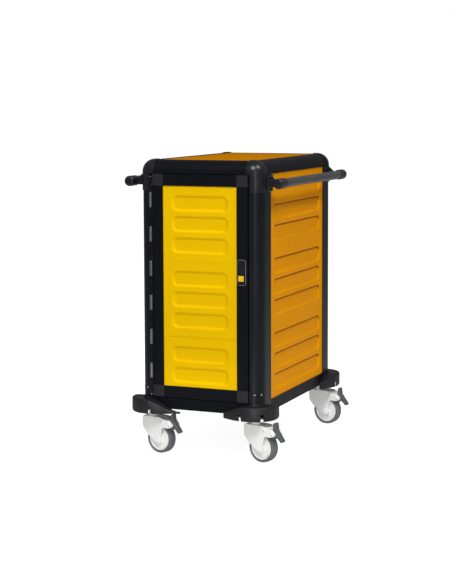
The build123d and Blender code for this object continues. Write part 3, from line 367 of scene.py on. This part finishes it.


# Three copies of one yellow powder coat: the door's has the paint's own colour; the side and top copies are
# darker and more orange, as painted shade.
door_yellow = finish("door_yellow", (0.90, 0.555, 0.001), (0.86, 0.51, 0.001), powder_coat, 0.42, depth=0.05,
                     specular=0.02, tone_scale=5.0)
side_yellow_painted_shade = finish("side_yellow_painted_shade", (0.84, 0.325, 0.001), (0.80, 0.295, 0.001), powder_coat, 0.42, depth=0.05,
                     specular=0.02, tone_scale=5.0)
# Painted shade on the pressed slopes of the side and rear sheets: darker where they face down, and slightly
# darker where they face up.
painted_slope_shade(side_yellow_painted_shade, painted_down_shade=(0.34, 0.085, 0.001), painted_up_shade=(0.74, 0.30, 0.001))
top_yellow_painted_shade = finish("top_yellow_painted_shade", (0.50, 0.185, 0.001), (0.46, 0.17, 0.001), powder_coat, 0.6, depth=0.05,
                    specular=0.0, tone_scale=5.0)
post_black = anodised("post_black", LINES_Z, color=(0.0045, 0.0055, 0.009), roughness=0.34, specular=0.22)
profile_black = anodised("profile_black", LINES_Z)
rail_black = anodised("rail_black", LINES_X)
side_rail_black = anodised("side_rail_black", LINES_Y)
base_black = finish("base_black", (0.0035, 0.004, 0.006), DEEP_BLACK, powder_coat, 0.4, depth=0.04,
                    specular=0.1)
screw_steel = finish("screw_steel", (0.05, 0.05, 0.055), (0.03, 0.03, 0.035), powder_coat, 0.3, amount=0.2,
                     depth=0.02, metallic=0.8, tone_scale=60.0)
cap_plastic = finish("cap_plastic", (0.010, 0.010, 0.014), (0.007, 0.007, 0.010), moulded_grain, 0.32,
                     depth=0.05, specular=0.4, relief_scale=700.0)
bumper_plastic = finish("bumper_plastic", (0.012, 0.012, 0.015), (0.009, 0.009, 0.011), moulded_grain, 0.44,
                        depth=0.08, specular=0.3, relief_scale=600.0)
joiner_plastic = finish("joiner_plastic", (0.020, 0.020, 0.024), (0.015, 0.015, 0.018), moulded_grain, 0.45,
                        depth=0.06, specular=0.25, relief_scale=700.0)
latch_plastic = finish("latch_plastic", (0.008, 0.008, 0.010), (0.006, 0.006, 0.008), moulded_grain, 0.32,
                       depth=0.04, specular=0.35, relief_scale=900.0)
bezel_plastic_painted_highlight = finish("bezel_plastic_painted_highlight", (0.006, 0.006, 0.008), (0.004, 0.004, 0.006), moulded_grain, 0.3,
                       depth=0.04, specular=0.35, relief_scale=900.0)
# Painted highlight: a light band round the latch bezel's rim.
painted_rim_highlight(bezel_plastic_painted_highlight, (0.20, 0.20, 0.21), middle=(149.6, -356.0, 624.0), half=(15.9, 1.0, 42.5), width=1.6)
pedal_plastic = finish("pedal_plastic", (0.080, 0.084, 0.088), (0.060, 0.063, 0.067), moulded_grain, 0.5,
                       depth=0.08, relief_scale=500.0)
bar_grey = finish("bar_grey", (0.11, 0.11, 0.115), (0.08, 0.08, 0.085), brushed_lines, 0.34, amount=0.2,
                  depth=0.01, metallic=0.6, stretch=LINES_Y)
zinc_steel = finish("zinc_steel", (0.55, 0.55, 0.56), (0.42, 0.42, 0.43), powder_coat, 0.3, amount=0.2,
                    depth=0.02, metallic=1.0, tone_scale=60.0)
knuckle_steel = finish("knuckle_steel", (0.22, 0.22, 0.23), (0.16, 0.16, 0.17), brushed_lines, 0.34,
                       amount=0.2, depth=0.01, metallic=0.9, stretch=(500.0, 500.0, 12.0))
stainless = finish("stainless", (0.58, 0.58, 0.58), (0.50, 0.50, 0.50), brushed_lines, 0.3, amount=0.22,
                   depth=0.01, metallic=1.0, stretch=(700.0, 700.0, 9.0))
rack_stainless = finish("rack_stainless", (0.56, 0.56, 0.56), (0.48, 0.48, 0.48), brushed_lines, 0.28,
                        amount=0.2, depth=0.01, metallic=1.0, stretch=(700.0, 9.0, 700.0))
white_plastic = finish("white_plastic", (0.83, 0.83, 0.81), (0.77, 0.77, 0.74), moulded_grain, 0.38,
                       depth=0.03, relief_scale=500.0, tone_scale=20.0)
tyre_rubber = finish("tyre_rubber", (0.120, 0.128, 0.140), (0.095, 0.102, 0.112), moulded_grain, 0.42,
                     depth=0.05, relief_scale=500.0, tone_scale=30.0)
gasket_rubber = finish("gasket_rubber", (0.018, 0.018, 0.019), (0.013, 0.013, 0.014), moulded_grain, 0.6,
                       depth=0.05, relief_scale=500.0)
button_yellow = finish("button_yellow", (0.93, 0.56, 0.005), (0.89, 0.52, 0.005), moulded_grain, 0.28,
                       depth=0.02, relief_scale=900.0)
foam_cream = finish("foam_cream", (0.75, 0.66, 0.44), (0.66, 0.56, 0.35), moulded_grain, 0.85, depth=0.4,
                    relief_scale=350.0, tone_scale=25.0)


# Making pieces

SHARP = 28.0


def to_piece(bm, name, body, material, replaces=(), crease=35.0):
    """Turns a bmesh in millimetres into a smooth-shaded piece in metres that rides on its body."""
    for face in bm.faces:
        face.smooth = True
    for edge in bm.edges:
        edge.smooth = edge.is_manifold and edge.calc_face_angle() < radians(crease)
    bmesh.ops.scale(bm, vec=(MM, MM, MM), verts=bm.verts)
    mesh = bpy.data.meshes.new(name)
    bm.to_mesh(mesh)
    bm.free()
    mesh.materials.append(material)
    piece = bpy.data.objects.new(name, mesh)
    scene.collection.objects.link(piece)
    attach(piece, body)
    if replaces:
        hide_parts(*replaces)
    return piece


def even_shading(piece):
    """Lets the large flat faces set the shading, so that only the rounded edges bend it."""
    weights = piece.modifiers.new("even_shading", "WEIGHTED_NORMAL")
    weights.keep_sharp = True
    return piece


def merged_copy(node):
    """A copy of a CAD node's mesh in millimetres, its loose triangles merged and its flats made whole."""
    bm = bmesh.new()
    bm.from_mesh(nodes[node].data)
    bmesh.ops.scale(bm, vec=(1 / MM, 1 / MM, 1 / MM), verts=bm.verts)
    bmesh.ops.remove_doubles(bm, verts=bm.verts, dist=0.005)
    bmesh.ops.dissolve_limit(bm, angle_limit=radians(0.5), use_dissolve_boundaries=False,
                             verts=bm.verts, edges=bm.edges)
    return bm


def bevel_edges(bm, edges, reach, segments, clamp):
    """Rounds edges."""
    bmesh.ops.bevel(bm, geom=edges, offset=reach, offset_type="OFFSET", segments=segments, profile=0.5,
                    affect="EDGES", clamp_overlap=clamp, material=-1)


def rounded(node, reach, material, segments=3):
    """A CAD piece with the small roundings that its sharp edges have in the real one."""
    bm = merged_copy(node)
    sharp = [edge for edge in bm.edges if edge.is_manifold and edge.calc_face_angle() > radians(SHARP)]
    bevel_edges(bm, sharp, reach, segments, clamp=False)
    return even_shading(to_piece(bm, f"{node}_rounded", nodes[node]["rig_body"], material, (node,)))


def join(target, source, place):
    """Adds a placed copy of one bmesh to another."""
    mesh = bpy.data.meshes.new("copy")
    source.to_mesh(mesh)
    mesh.transform(place)
    target.from_mesh(mesh)
    bpy.data.meshes.remove(mesh)


def dress(material, *names):
    """Gives CAD nodes their finish."""
    for name in names:
        nodes[name].material_slots[0].material = material


# Frame, door and fittings whose shapes the CAD already has
for corner in ("front_left", "front_right", "rear_left", "rear_right"):
    rounded(f"{corner}_post", 0.5, post_black)
for rail in ("top_front_rail", "top_rear_rail"):
    rounded(rail, 0.5, rail_black)
for rail in ("top_left_rail", "top_right_rail"):
    rounded(rail, 0.5, side_rail_black)
for stile in ("door_hinge_stile", "door_latch_stile"):
    rounded(stile, 0.6, profile_black)
rounded("door_cross_rails", 0.6, rail_black)
rounded("base_frame", 0.5, base_black, segments=2)
rounded("corner_caps", 0.7, cap_plastic, segments=2)
rounded("door_corner_joiners", 0.9, joiner_plastic)
rounded("hinge_door_leaf", 0.35, knuckle_steel, segments=2)
rounded("hinge_post_leaf", 0.35, profile_black, segments=2)
rounded("latch_case", 0.8, bezel_plastic_painted_highlight)
rounded("latch_paddle", 0.8, latch_plastic)
rounded("push_bar_brackets", 1.2, cap_plastic)
rounded("push_bar_end_caps", 0.6, cap_plastic, segments=2)
rounded("left_push_bar", 0.5, bar_grey, segments=2)
rounded("right_push_bar", 0.5, bar_grey, segments=2)
rounded("top_panel", 0.5, top_yellow_painted_shade, segments=2)
rounded("door_gasket", 1.2, gasket_rubber)
rounded("release_button", 1.2, button_yellow)
dress(zinc_steel, "hinge_pin", "latch_bolt", "latch_keeper", "caster_mounts")
dress(stainless, "inner_liner", "door_inner_panel")
dress(rack_stainless, "left_tray_rack", "right_tray_rack")
dress(foam_cream, "body_foam", "door_foam")


# Pressed sheets

def facing(origin, across, outward):
    """The place of a sheet drawn flat: its middle, its own x direction and its outside."""
    across = Vector(across)
    outward = Vector(outward)
    up = outward.cross(across)
    turn = Matrix((across, up, outward)).transposed()
    return Matrix.Translation(origin) @ turn.to_4x4()


def press_steps(bend, slope):
    """(how far in from the mouth, how deep) down the side of a pocket, with both bends rounded."""
    lead = bend * tan(radians(slope / 2))
    angles = [radians(slope * part / BEND_STEPS) for part in range(BEND_STEPS + 1)]
    mouth = [(-lead + bend * sin(a), bend * (1 - cos(a))) for a in angles]
    foot = POCKET_DEPTH / tan(radians(slope)) + lead
    floor = [(foot - bend * sin(a), POCKET_DEPTH - bend * (1 - cos(a))) for a in reversed(angles)]
    return mouth + floor


def rounded_loop(bm, y, width, inset, depth):
    """One ring of edges round a pocket whose middle is at y."""
    radius = POCKET_R - inset
    ring = bmesh.ops.create_circle(bm, cap_ends=False, segments=LOOP_STEPS, radius=radius)["verts"]
    half_step = Matrix.Rotation(pi / LOOP_STEPS, 3, "Z")
    bmesh.ops.rotate(bm, verts=ring, cent=(0, 0, 0), matrix=half_step)
    for sign in (-1, 1):
        ends = [vert for vert in ring if vert.co.x * sign > 0]
        bmesh.ops.translate(bm, verts=ends, vec=(sign * (width / 2 - POCKET_R), 0, 0))
        sides = [vert for vert in ring if vert.co.y * sign > 0]
        bmesh.ops.translate(bm, verts=sides, vec=(0, sign * (POCKET_H / 2 - POCKET_R), 0))
    bmesh.ops.translate(bm, verts=ring, vec=(0, y, -depth))
    return list({edge for vert in ring for edge in vert.link_edges})


def pressed_sheet(width, height, pocket_w, pocket_middles, press):
    """A sheet with its outer face at z=0 and a column of pockets pressed into it."""
    bm = bmesh.new()
    plate = bmesh.ops.create_grid(bm, x_segments=1, y_segments=1, size=0.5)["verts"]
    bmesh.ops.scale(bm, vec=(width, height, 1), verts=plate)
    bmesh.ops.delete(bm, geom=list(bm.faces), context="FACES_ONLY")
    flat = list(bm.edges)
    for y in pocket_middles:
        rings = [rounded_loop(bm, y, pocket_w, inset, depth) for inset, depth in press_steps(*press)]
        flat += rings[0]
        for outer, inner in zip(rings, rings[1:]):
            bmesh.ops.bridge_loops(bm, edges=outer + inner)
        bmesh.ops.edgeloop_fill(bm, edges=rings[-1])
    bmesh.ops.triangle_fill(bm, use_beauty=True, use_dissolve=False, edges=flat)
    bm.normal_update()
    bmesh.ops.reverse_faces(bm, faces=[face for face in bm.faces if face.normal.z < 0])
    bm.normal_update()
    bmesh.ops.solidify(bm, geom=list(bm.faces), thickness=SHEET)
    return bm


def sheet_piece(name, bm, place, body, material, node):
    """Puts a pressed sheet in its place instead of its CAD node."""
    bmesh.ops.transform(bm, matrix=place, verts=bm.verts)
    return even_shading(to_piece(bm, name, body, material, (node,), crease=60.0))


sheet_h = SHEET_HIGH - SHEET_LOW
sheet_mid = (SHEET_LOW + SHEET_HIGH) / 2
body_pockets = [RAIL_BOTTOM - (module + share) * MODULE_H - POCKET_H / 2 - sheet_mid
                for module in range(3) for share in POCKET_SHARES]
for side, sign in (("left", -1), ("right", 1)):
    sheet = pressed_sheet(SIDE_SHEET_W, sheet_h, WIDE_POCKET, body_pockets, BODY_PRESS)
    place = facing((sign * (HALF_W - SKIN), 0, sheet_mid), (0, sign, 0), (sign, 0, 0))
    sheet_piece(f"{side}_side_sheet", sheet, place, "cart", side_yellow_painted_shade, f"{side}_side_panel")
sheet = pressed_sheet(REAR_SHEET_W, sheet_h, NARROW_POCKET, body_pockets, BODY_PRESS)
place = facing((0, HALF_D - SKIN, sheet_mid), (-1, 0, 0), (0, 1, 0))
sheet_piece("rear_sheet", sheet, place, "cart", side_yellow_painted_shade, "rear_panel")

# Each door sheet's top and bottom edge, and its pockets' upper edges
DOOR_SHEETS = (("upper", 910.3, 652.5, (871.0, 803.0, 732.0)),
               ("middle", 652.2, 400.8, (621.4, 552.3, 482.0)),
               ("lower", 400.2, 226.2, (368.8, 298.7)))
for level, top, bottom, pocket_tops in DOOR_SHEETS:
    middle = (top + bottom) / 2
    pockets = [pocket_top - POCKET_H / 2 - middle for pocket_top in pocket_tops]
    sheet = pressed_sheet(DOOR_SHEET_W, top - bottom, NARROW_POCKET, pockets, DOOR_PRESS)
    place = facing((0, -HALF_D + SKIN, middle), (1, 0, 0), (0, -1, 0))
    sheet_piece(f"door_sheet_{level}", sheet, place, "door", door_yellow, f"door_panel_{level}")


# Corner bumpers

def along_wing(wing, reach):
    """How far out and how high the wing is at a distance from the corner."""
    stops = ((BUMPER_R, BUMPER_OUT, BUMPER_TOP), *wing)
    for (r0, out0, top0), (r1, out1, top1) in zip(stops, stops[1:]):
        if reach <= r1:
            part = (reach - r0) / (r1 - r0)
            return out0 + (out1 - out0) * part, top0 + (top1 - top0) * part
    return stops[-1][1:]


def notch_arch(offset, half):
    """How far below its top a notch's round head is, at an offset from its middle."""
    return half - sqrt(max(half * half - offset * offset, 0.0))


def bumper_section(out, top, collar, head):
    """The bumper's outer skin at one place: (how far out, height) from the body to the lower rim."""
    rim = min(TOP_RIM, out * 0.45)
    lip = min(SHELF_LIP, out * 0.12)
    step = min(SHELF_STEP, out * 0.05)
    raised = min(collar, 1.0)
    shelf = top - SHELF_STEP * raised
    edge = out - rim - min(0.3, out * 0.02)
    points = [(0.0, shelf + collar), (lip, shelf + collar), (lip + step, shelf + collar - 0.8 * raised),
              (lip + 1.5 * step, shelf), ((lip + 1.5 * step + edge) / 2, shelf), (edge, shelf)]
    for angle in (0, pi / 8, pi / 4, 3 * pi / 8, pi / 2):
        points.append((out - rim + rim * sin(angle), top - rim + rim * cos(angle)))
    belt = min(BUMPER_BELT, BUMPER_LOW + (top - rim - BUMPER_LOW) * 0.6)
    low = min(head, (top - rim + belt) / 2)
    foot = min(BUMPER_FOOT, BUMPER_LOW + (belt - BUMPER_LOW) * 0.4)
    points += [(out, low), (out, belt), (out - min(1.0, out * 0.2), foot),
               (out - min(3.2, out * 0.6), BUMPER_LOW)]
    return points


def wing_stations(wing, notch, direction):
    """The places along one wing, with its notch at a distance from the outer corner."""
    half = WING_NOTCH_HALF
    inside = [notch + half * part for part in NOTCH_PARTS]
    reaches = sorted({*[stop[0] for stop in wing], *WING_STOPS, *inside})
    made = []
    for reach in [reach for reach in reaches if reach <= wing[-1][0]]:
        out, top = along_wing(wing, reach)
        within = abs(reach - notch) <= half + 0.01
        head = NOTCH_TOP - (notch_arch(reach - notch, half) if within else half)
        made.append((direction, reach, out, top, 0.0, head, within))
    return made


def bumper_stations():
    """Every place along the bumper from the end of its tall wing round to the end of its low one."""
    stations = wing_stations(TALL_WING, TALL_WING_NOTCH, "front")[::-1]
    inside = [CORNER_NOTCH + CORNER_NOTCH_HALF * part for part in NOTCH_PARTS]
    for angle in sorted({*range(0, 91, 6), *inside}):
        within = abs(angle - CORNER_NOTCH) <= CORNER_NOTCH_HALF + 0.01
        half = CORNER_NOTCH_HALF * BUMPER_R * pi / 180
        offset = (angle - CORNER_NOTCH) * BUMPER_R * pi / 180
        head = NOTCH_TOP - (notch_arch(offset, half) if within else half)
        collar = COLLAR_H * min(1.0, max(0.0, sin(radians(2 * angle))) * 1.6)
        stations.append(("corner", angle, BUMPER_OUT, BUMPER_TOP, collar, head, within))
    return stations + wing_stations(LOW_WING, LOW_WING_NOTCH, "side")


def corner_way(angle):
    """The direction out of the front right corner at an angle from straight ahead."""
    return Vector((sin(radians(angle)), -cos(radians(angle)), 0))


corner_axis = Vector((HALF_W - EDGE_R, -HALF_D + EDGE_R, 0))


def station_lines(kind, where):
    """A station's foot on the body, its outside direction and, round the corner, how far out it goes."""
    if kind in ("front", "end"):
        return Vector((HALF_W + BUMPER_OUT - where, -HALF_D, 0)), Vector((0, -1, 0)), None
    if kind == "side":
        return Vector((HALF_W, -HALF_D - BUMPER_OUT + where, 0)), Vector((1, 0, 0)), None
    round_way = corner_way(where)
    foot = corner_axis + EDGE_R * round_way
    centre = Vector((HALF_W + BUMPER_OUT - BUMPER_R, -HALF_D - BUMPER_OUT + BUMPER_R, 0))
    outside = centre + BUMPER_R * round_way
    return foot, (outside - foot).normalized(), (outside - foot).length


def bumper_mesh():
    """The front right bumper: its skin is drawn out from station to station, then given its wall."""
    bm = bmesh.new()
    chain = None
    last = None
    notch_faces = []
    stations = bumper_stations()
    for kind, where, out, top, collar, head, within in [("end", *stations[0][1:]), *stations]:
        foot, outward, length = station_lines(kind, where)
        reach = 0.0 if kind == "end" else 1.0
        points = [foot + outward * far * reach + Vector((0, 0, high))
                  for far, high in bumper_section(length or out, top, collar, head)]
        if chain is None:
            chain = [bm.verts.new(point) for point in points]
            edges = [bm.edges.new(pair) for pair in zip(chain, chain[1:])]
        else:
            before = set(bm.faces)
            drawn = bmesh.ops.extrude_edge_only(bm, edges=edges)["geom"]
            verts = [item for item in drawn if isinstance(item, bmesh.types.BMVert)]
            around = [{edge.other_vert(old) for edge in old.link_edges} for old in chain]
            chain = [next(new for new in verts if new in near) for near in around]
            for vert, point in zip(chain, points):
                vert.co = point
            edges = [bm.edges.get(pair) for pair in zip(chain, chain[1:])]
            if within and last:
                lower = set(chain[NOTCH_POINT:])
                notch_faces += [face for face in set(bm.faces) - before
                                if sum(vert in lower for vert in face.verts) == 2]
        last = within
    bmesh.ops.recalc_face_normals(bm, faces=bm.faces)
    upper = max(bm.faces, key=lambda face: face.calc_center_median().z)
    if upper.normal.z < 0:
        bmesh.ops.reverse_faces(bm, faces=bm.faces)
    bmesh.ops.delete(bm, geom=notch_faces, context="FACES")
    bmesh.ops.solidify(bm, geom=list(bm.faces), thickness=BUMPER_WALL)
    return bm


def rounded_block(bm, low, high, reach):
    """A block between two corners, with rounded edges."""
    low, high = Vector(low), Vector(high)
    place = Matrix.Translation((low + high) / 2) @ Matrix.Diagonal((*(high - low), 1))
    verts = bmesh.ops.create_cube(bm, size=1.0, matrix=place)["verts"]
    bevel_edges(bm, list({edge for vert in verts for edge in vert.link_edges}), reach, segments=2, clamp=True)


# The same moulding is used at all four corners, a quarter turn on each time
CORNER_TURNS = {"front_right": 0, "rear_right": 90, "rear_left": 180, "front_left": -90}
bumpers = bmesh.new()
for corner, turn in CORNER_TURNS.items():
    bm = bumper_mesh()
    rounded_block(bm, *BUMPER_PLATE, 0.6)
    spin = Matrix.Rotation(radians(turn), 4, "Z")
    moved = spin @ Vector((HALF_W, -HALF_D, 0))
    x = HALF_W if corner.endswith("right") else -HALF_W
    y = HALF_D if corner.startswith("rear") else -HALF_D
    bmesh.ops.transform(bm, matrix=Matrix.Translation((x - moved.x, y - moved.y, 0)) @ spin, verts=bm.verts)
    join(bumpers, bm, Matrix.Identity(4))
    bm.free()
to_piece(bumpers, "bumpers", "cart", bumper_plastic, ("corner_bumpers",), crease=40.0)


# Screws and rivets

def turned(profile, steps=32):
    """A shape turned about Z from (radius, height) points that start and end on the axis or meet."""
    bm = bmesh.new()
    verts = [bm.verts.new((radius, 0, height)) for radius, height in profile]
    edges = [bm.edges.new(pair) for pair in zip(verts, verts[1:])]
    bmesh.ops.spin(bm, geom=verts + edges, cent=(0, 0, 0), axis=(0, 0, 1), dvec=(0, 0, 0), angle=2 * pi,
                   steps=steps, use_merge=True, use_duplicate=False)
    bmesh.ops.remove_doubles(bm, verts=bm.verts, dist=0.001)
    bmesh.ops.recalc_face_normals(bm, faces=bm.faces)
    return bm


def fastener(radius, height, socket, shank):
    """A domed screw head with a socket, standing on z=0, and its shank below."""
    deep = height * 0.6
    profile = [(0.0, height - deep), (socket, height - deep), (socket, height * 0.98),
               (radius * 0.62, height * 0.93), (radius * 0.86, height * 0.68), (radius * 0.98, height * 0.3),
               (radius, 0.0),
               (radius * 0.55, 0.0), (radius * 0.55, -shank), (0.0, -shank)]
    return turned(profile, steps=24)


def rivet_head(radius, height, shank):
    """A plain domed rivet head and its tail."""
    dome = [(radius * sin(a), height * cos(a)) for a in (0, 0.35, 0.7, 1.05, 1.35, pi / 2)]
    return turned([*dome, (radius * 0.6, 0.0), (radius * 0.6, -shank), (0.0, -shank)], steps=24)


def outward_place(point, outward):
    """A place whose own z points outwards."""
    return Matrix.Translation(point) @ Vector(outward).to_track_quat("Z", "Y").to_matrix().to_4x4()


def flipped(point, left, rear):
    """A front right point or direction, taken to another corner."""
    return Vector((-point[0] if left else point[0], -point[1] if rear else point[1], point[2]))


screws = bmesh.new()
cap_screw = fastener(3.6, 2.4, 1.7, 9.0)
bar_screw = fastener(4.6, 2.6, 2.2, 12.0)
rivets = bmesh.new()
rivet = rivet_head(3.2, 1.8, 5.0)
for left in (False, True):
    for rear in (False, True):
        for angle in CAP_SCREW_ANGLES:
            for z in CAP_SCREW_HEIGHTS:
                way = corner_way(angle)
                point = corner_axis + way * (CAP_R - CAP_SCREW_SINK) + Vector((0, 0, z))
                join(screws, cap_screw, outward_place(flipped(point, left, rear), flipped(way, left, rear)))
        for y in BAR_SCREW_YS:
            for z in BAR_SCREW_HEIGHTS:
                point = flipped((BAR_SCREW_X, y, z), left, rear)
                place = outward_place(point, flipped((1, 0, 0), left, rear))
                join(screws, bar_screw, place)
    for angle in RIVET_ANGLES:
        way = corner_way(angle)
        point = corner_axis + way * (EDGE_R - RIVET_SINK) + Vector((0, 0, RIVET_HEIGHT))
        join(rivets, rivet, outward_place(flipped(point, left, False), flipped(way, left, False)))
to_piece(screws, "socket_screws", "cart", screw_steel, ("frame_screws",))
to_piece(rivets, "post_rivets", "cart", zinc_steel, ("frame_rivets",))


# Casters; the rings are (radius, distance from the wheel's middle)

TYRE_RING = [(40.5, -13.0), (44.5, -14.6), (47.2, -15.6), (48.6, -14.9), (49.5, -13.2), (49.85, -9.5),
             (49.9, -7.6), (49.2, -7.2), (49.2, -6.4), (49.95, -6.0), (50.0, 0.0), (49.95, 6.0), (49.2, 6.4),
             (49.2, 7.2), (49.9, 7.6), (49.85, 9.5), (49.5, 13.2), (48.6, 14.9), (47.2, 15.6), (44.5, 14.6),
             (40.5, 13.0), (40.5, -13.0)]
HUB_SIDE = [(5.1, 19.4), (11.8, 19.4), (12.8, 18.6), (13.0, 14.2), (13.6, 13.0), (18.6, 12.6), (19.2, 11.0),
            (20.6, 11.0), (21.2, 12.6), (26.4, 12.8), (27.0, 11.4), (28.2, 11.4), (28.8, 12.8), (32.6, 12.9),
            (33.4, 10.2), (35.2, 10.2), (36.0, 12.8), (37.0, 14.4), (38.6, 15.0), (39.8, 14.8), (40.4, 14.0)]


def caster_place(corner):
    """From a caster drawn with its swivel at the origin to its corner of the cart."""
    x = SWIVEL_X if corner.endswith("right") else -SWIVEL_X
    y = SWIVEL_Y if corner.startswith("rear") else -SWIVEL_Y
    return Matrix.Translation((x, y, 0)) @ Matrix.Rotation(radians(-CASTER_ANGLES[corner]), 4, "Z")


wheel_axis = Matrix.Translation((TRAIL, 0, WHEEL_R)) @ Matrix.Rotation(pi / 2, 4, "X")
hub_ring = HUB_SIDE + [(radius, -height) for radius, height in reversed(HUB_SIDE)] + [HUB_SIDE[0]]
mark = rivet_head(1.7, 0.3, 0.6)
for corner in CASTER_ANGLES:
    place = caster_place(corner)
    for part, ring, steps, material, slot in (("tyre", TYRE_RING, 72, tyre_rubber, "grey_tyre"),
                                              ("hub", hub_ring, 64, white_plastic, "white_plastic")):
        bm = turned(ring, steps)
        bmesh.ops.transform(bm, matrix=place @ wheel_axis, verts=bm.verts)
        to_piece(bm, f"{part}_{corner}", f"wheel_{corner}", material, (f"caster_{part}_{corner}",))
    rounded(f"caster_fork_{corner}", 1.2, white_plastic)
    marks = bmesh.new()
    for u, z, out in PIN_ENDS:
        for side in (-1, 1):
            join(marks, mark, outward_place((u, side * out, z), (0, side, 0)))
    bmesh.ops.transform(marks, matrix=place, verts=marks.verts)
    to_piece(marks, f"pin_sockets_{corner}", f"swivel_{corner}", screw_steel)
    rounded(f"brake_pedal_{corner}", 1.5, pedal_plastic)


# Camera, at the photograph's place
camera = bpy.data.objects.new("camera", bpy.data.cameras.new("camera"))
scene.collection.objects.link(camera)
scene.camera = camera
camera.data.sensor_width = SENSOR
camera.data.lens = FOCAL_PX / PICTURE_H * SENSOR
camera.data.shift_y = (MIDDLE_PX - PICTURE_H / 2) / PICTURE_H
camera.data.clip_end = 100.0
heading = Matrix.Rotation(CAMERA_HEADING, 4, "Z") @ Matrix.Rotation(pi / 2 - CAMERA_DIP, 4, "X")
camera.matrix_world = Matrix.Translation(CAMERA_AT) @ heading @ Matrix.Rotation(CAMERA_ROLL, 4, "Z")


# Plain studio: white floor and world, soft lamps

def softbox(name, place, target, width, height, watts, beam=180.0):
    """A soft lamp that points at a target; its beam is in degrees."""
    data = bpy.data.lights.new(name, "AREA")
    data.shape = "RECTANGLE"
    data.size = width
    data.size_y = height
    data.energy = watts
    data.spread = radians(beam)
    lamp = bpy.data.objects.new(name, data)
    scene.collection.objects.link(lamp)
    aim = (Vector(target) - Vector(place)).to_track_quat("-Z", "Y").to_matrix().to_4x4()
    lamp.matrix_world = Matrix.Translation(place) @ aim


softbox("front_lamp", (0.9, -3.3, 4.4), (0, 0, 0.5), 1.8, 1.2, 152)
softbox("side_lamp", (2.7, -0.7, 4.1), (0.2, 0, 0.5), 0.7, 0.7, 74)
softbox("edge_lamp", (2.2, -3.15, 1.15), (0.1, -0.1, 0.7), 0.6, 2.1, 15)
softbox("low_lamp", (1.2, -3.9, 0.12), (0.05, -0.1, 0.04), 2.6, 0.2, 1.1, beam=10.0)

# The world is white to the camera and through glass, and dimmer as a light
world = bpy.data.worlds.new("studio")
scene.world = world
world.use_nodes = True
sky = world.node_tree.nodes
sky_links = world.node_tree.links
ray = sky.new("ShaderNodeLightPath").outputs
seen = calculate(sky, sky_links, "MAXIMUM", ray["Is Camera Ray"], ray["Is Transmission Ray"])
level = sky.new("ShaderNodeMapRange")
level.inputs["To Min"].default_value = 0.2
level.inputs["To Max"].default_value = 1.0
sky_links.new(seen, level.inputs["Value"])
sky["Background"].inputs["Color"].default_value = (1, 1, 1, 1)
sky_links.new(level.outputs["Result"], sky["Background"].inputs["Strength"])

# The floor keeps its shadow and glows to the camera alone, so that it meets the white behind it
floor_bm = bmesh.new()
bmesh.ops.create_grid(floor_bm, x_segments=1, y_segments=1, size=15)
floor_mesh = bpy.data.meshes.new("floor")
floor_bm.to_mesh(floor_mesh)
floor_bm.free()
floor = bpy.data.objects.new("floor", floor_mesh)
scene.collection.objects.link(floor)
floor_white = bpy.data.materials.new("floor_white")
floor_white.use_nodes = True
floor_tree = floor_white.node_tree.nodes
floor_links = floor_white.node_tree.links
floor_shader = floor_tree["Principled BSDF"]
floor_shader.inputs["Base Color"].default_value = (0.7, 0.7, 0.7, 1)
floor_shader.inputs["Roughness"].default_value = 0.9
floor_shader.inputs["Specular IOR Level"].default_value = 0.0
floor_shader.inputs["Emission Color"].default_value = (1, 1, 1, 1)
floor_ray = floor_tree.new("ShaderNodeLightPath").outputs
floor_glow = calculate(floor_tree, floor_links, "MULTIPLY", floor_ray["Is Camera Ray"], 0.92)
floor_links.new(floor_glow, floor_shader.inputs["Emission Strength"])
floor_mesh.materials.append(floor_white)

scene.view_settings.view_transform = "Standard"
